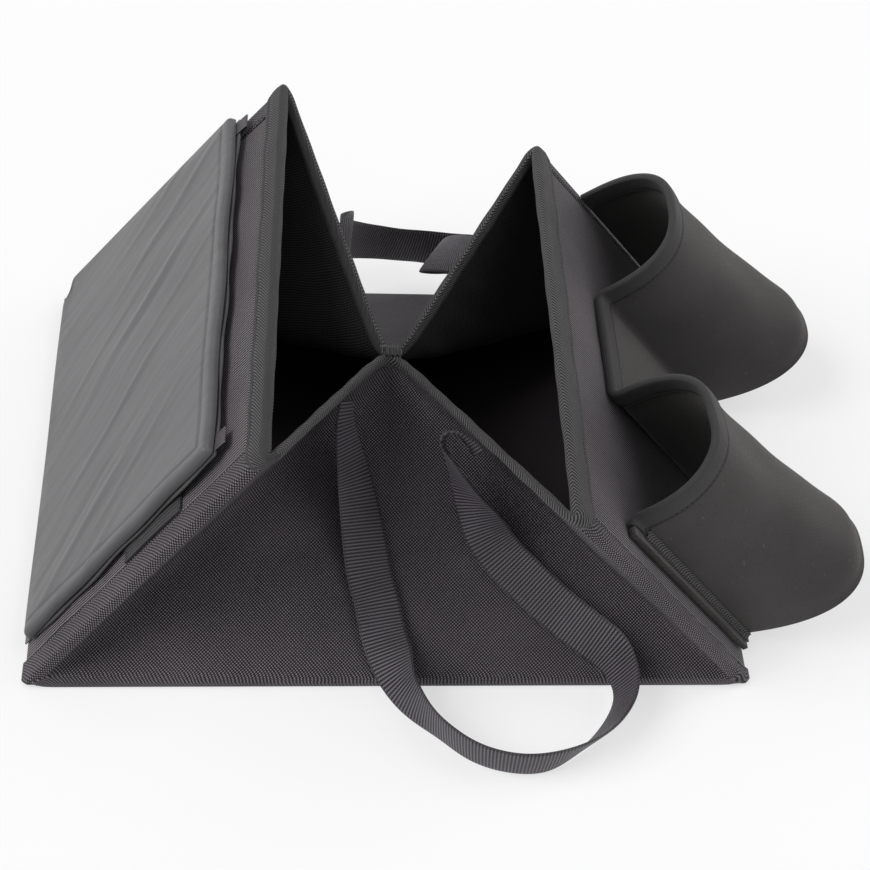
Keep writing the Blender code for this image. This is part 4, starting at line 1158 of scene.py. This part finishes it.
# The fastening's ends along the wall and up it, and the tapes' thickness
FASTENING_X, FASTENING_Y, PILE_THICK = (0.060, 0.275), (0.1392, 0.1642), 0.0012


def build_flap_fastening():
    """Hook tape under the flap and loop tape on the wall, both with softly rounded edges."""
    pile = pile_look()
    a, h = np.meshgrid(*(crowded(*span, 30, 0.0015, 4) for span in (FASTENING_X, FASTENING_Y)))
    drop = rounded(a, *FASTENING_X, 0.0004) + rounded(h, *FASTENING_Y, 0.0004)
    thick = PILE_THICK - np.minimum(drop, PILE_THICK * 0.8) + 0.0002 * ripple(a, h, 0, 0.02)
    for name, place, low, stands_for, body in (
            ("flap_hooks", on_flap, -0.0015, "flap_hook_strip", "side_flap"),
            ("wall_loops", on_left_wall, 0.0003, "wall_loop_strip", "bag")):
        solid(name, place(a, h, low + thick), place(a, h, low), pile, (stands_for,), body,
              uv=np.stack([a, h], axis=-1))


def build_flap_hinge():
    """The nylon strip that carries the flap: flat on the wall's foot, then out under the flap."""
    run = np.array([(0.0015, 0.0007), (0.0045, 0.0007), (0.0070, 0.0009), (0.0082, 0.0014),
                    (0.0085, 0.0022), (0.0085, 0.0040), (0.0085, 0.0056)])
    a, k = np.meshgrid(np.linspace(0.0285, 0.2997, 60), np.arange(7))
    points = on_left_wall(a, run[k, 0] + 0.0002 * np.sin(a * 120), run[k, 1])
    cloth("flap_hinge_strip", points, 0.0008, nylon, ("flap_hinge_cloth",))


# The elastic tab's ends along the wall and up it
TAB_X, TAB_Y = (0.0165, 0.0275), (0.092, 0.138)


def build_elastic_tab():
    """A short ribbed elastic sewn down at both ends beside the wall's front seam."""
    a, h = np.meshgrid(np.linspace(*TAB_X, 14), np.linspace(*TAB_Y, 50))
    f = (h - TAB_Y[0]) / (TAB_Y[1] - TAB_Y[0])
    points = on_left_wall(a, h, 0.0010 + 0.0006 * np.maximum(np.sin(f * math.pi), 0.0) ** 0.7)
    ribbed = elastic_look("ribbed_elastic", 2.75, 1.6)
    cloth("elastic_tab_strip", points, 0.0011, ribbed, ("elastic_tab",),
          uv=np.stack([h, a - TAB_X[0]], axis=-1))
    for k, up in enumerate((TAB_Y[0] + 0.0015, TAB_Y[1] - 0.0015)):
        line = np.linspace(TAB_X[0] - 0.0003, TAB_X[1] + 0.0002, 20)
        sew(f"tab_stitches_{k}", on_left_wall(line, up, 0.0019), way_out(on_left_wall, line, up),
            pitch=0.0016, length=0.0014)


build_flap()
build_flap_tabs()
build_flap_fastening()
build_flap_hinge()
build_elastic_tab()


bpy.context.view_layer.update()
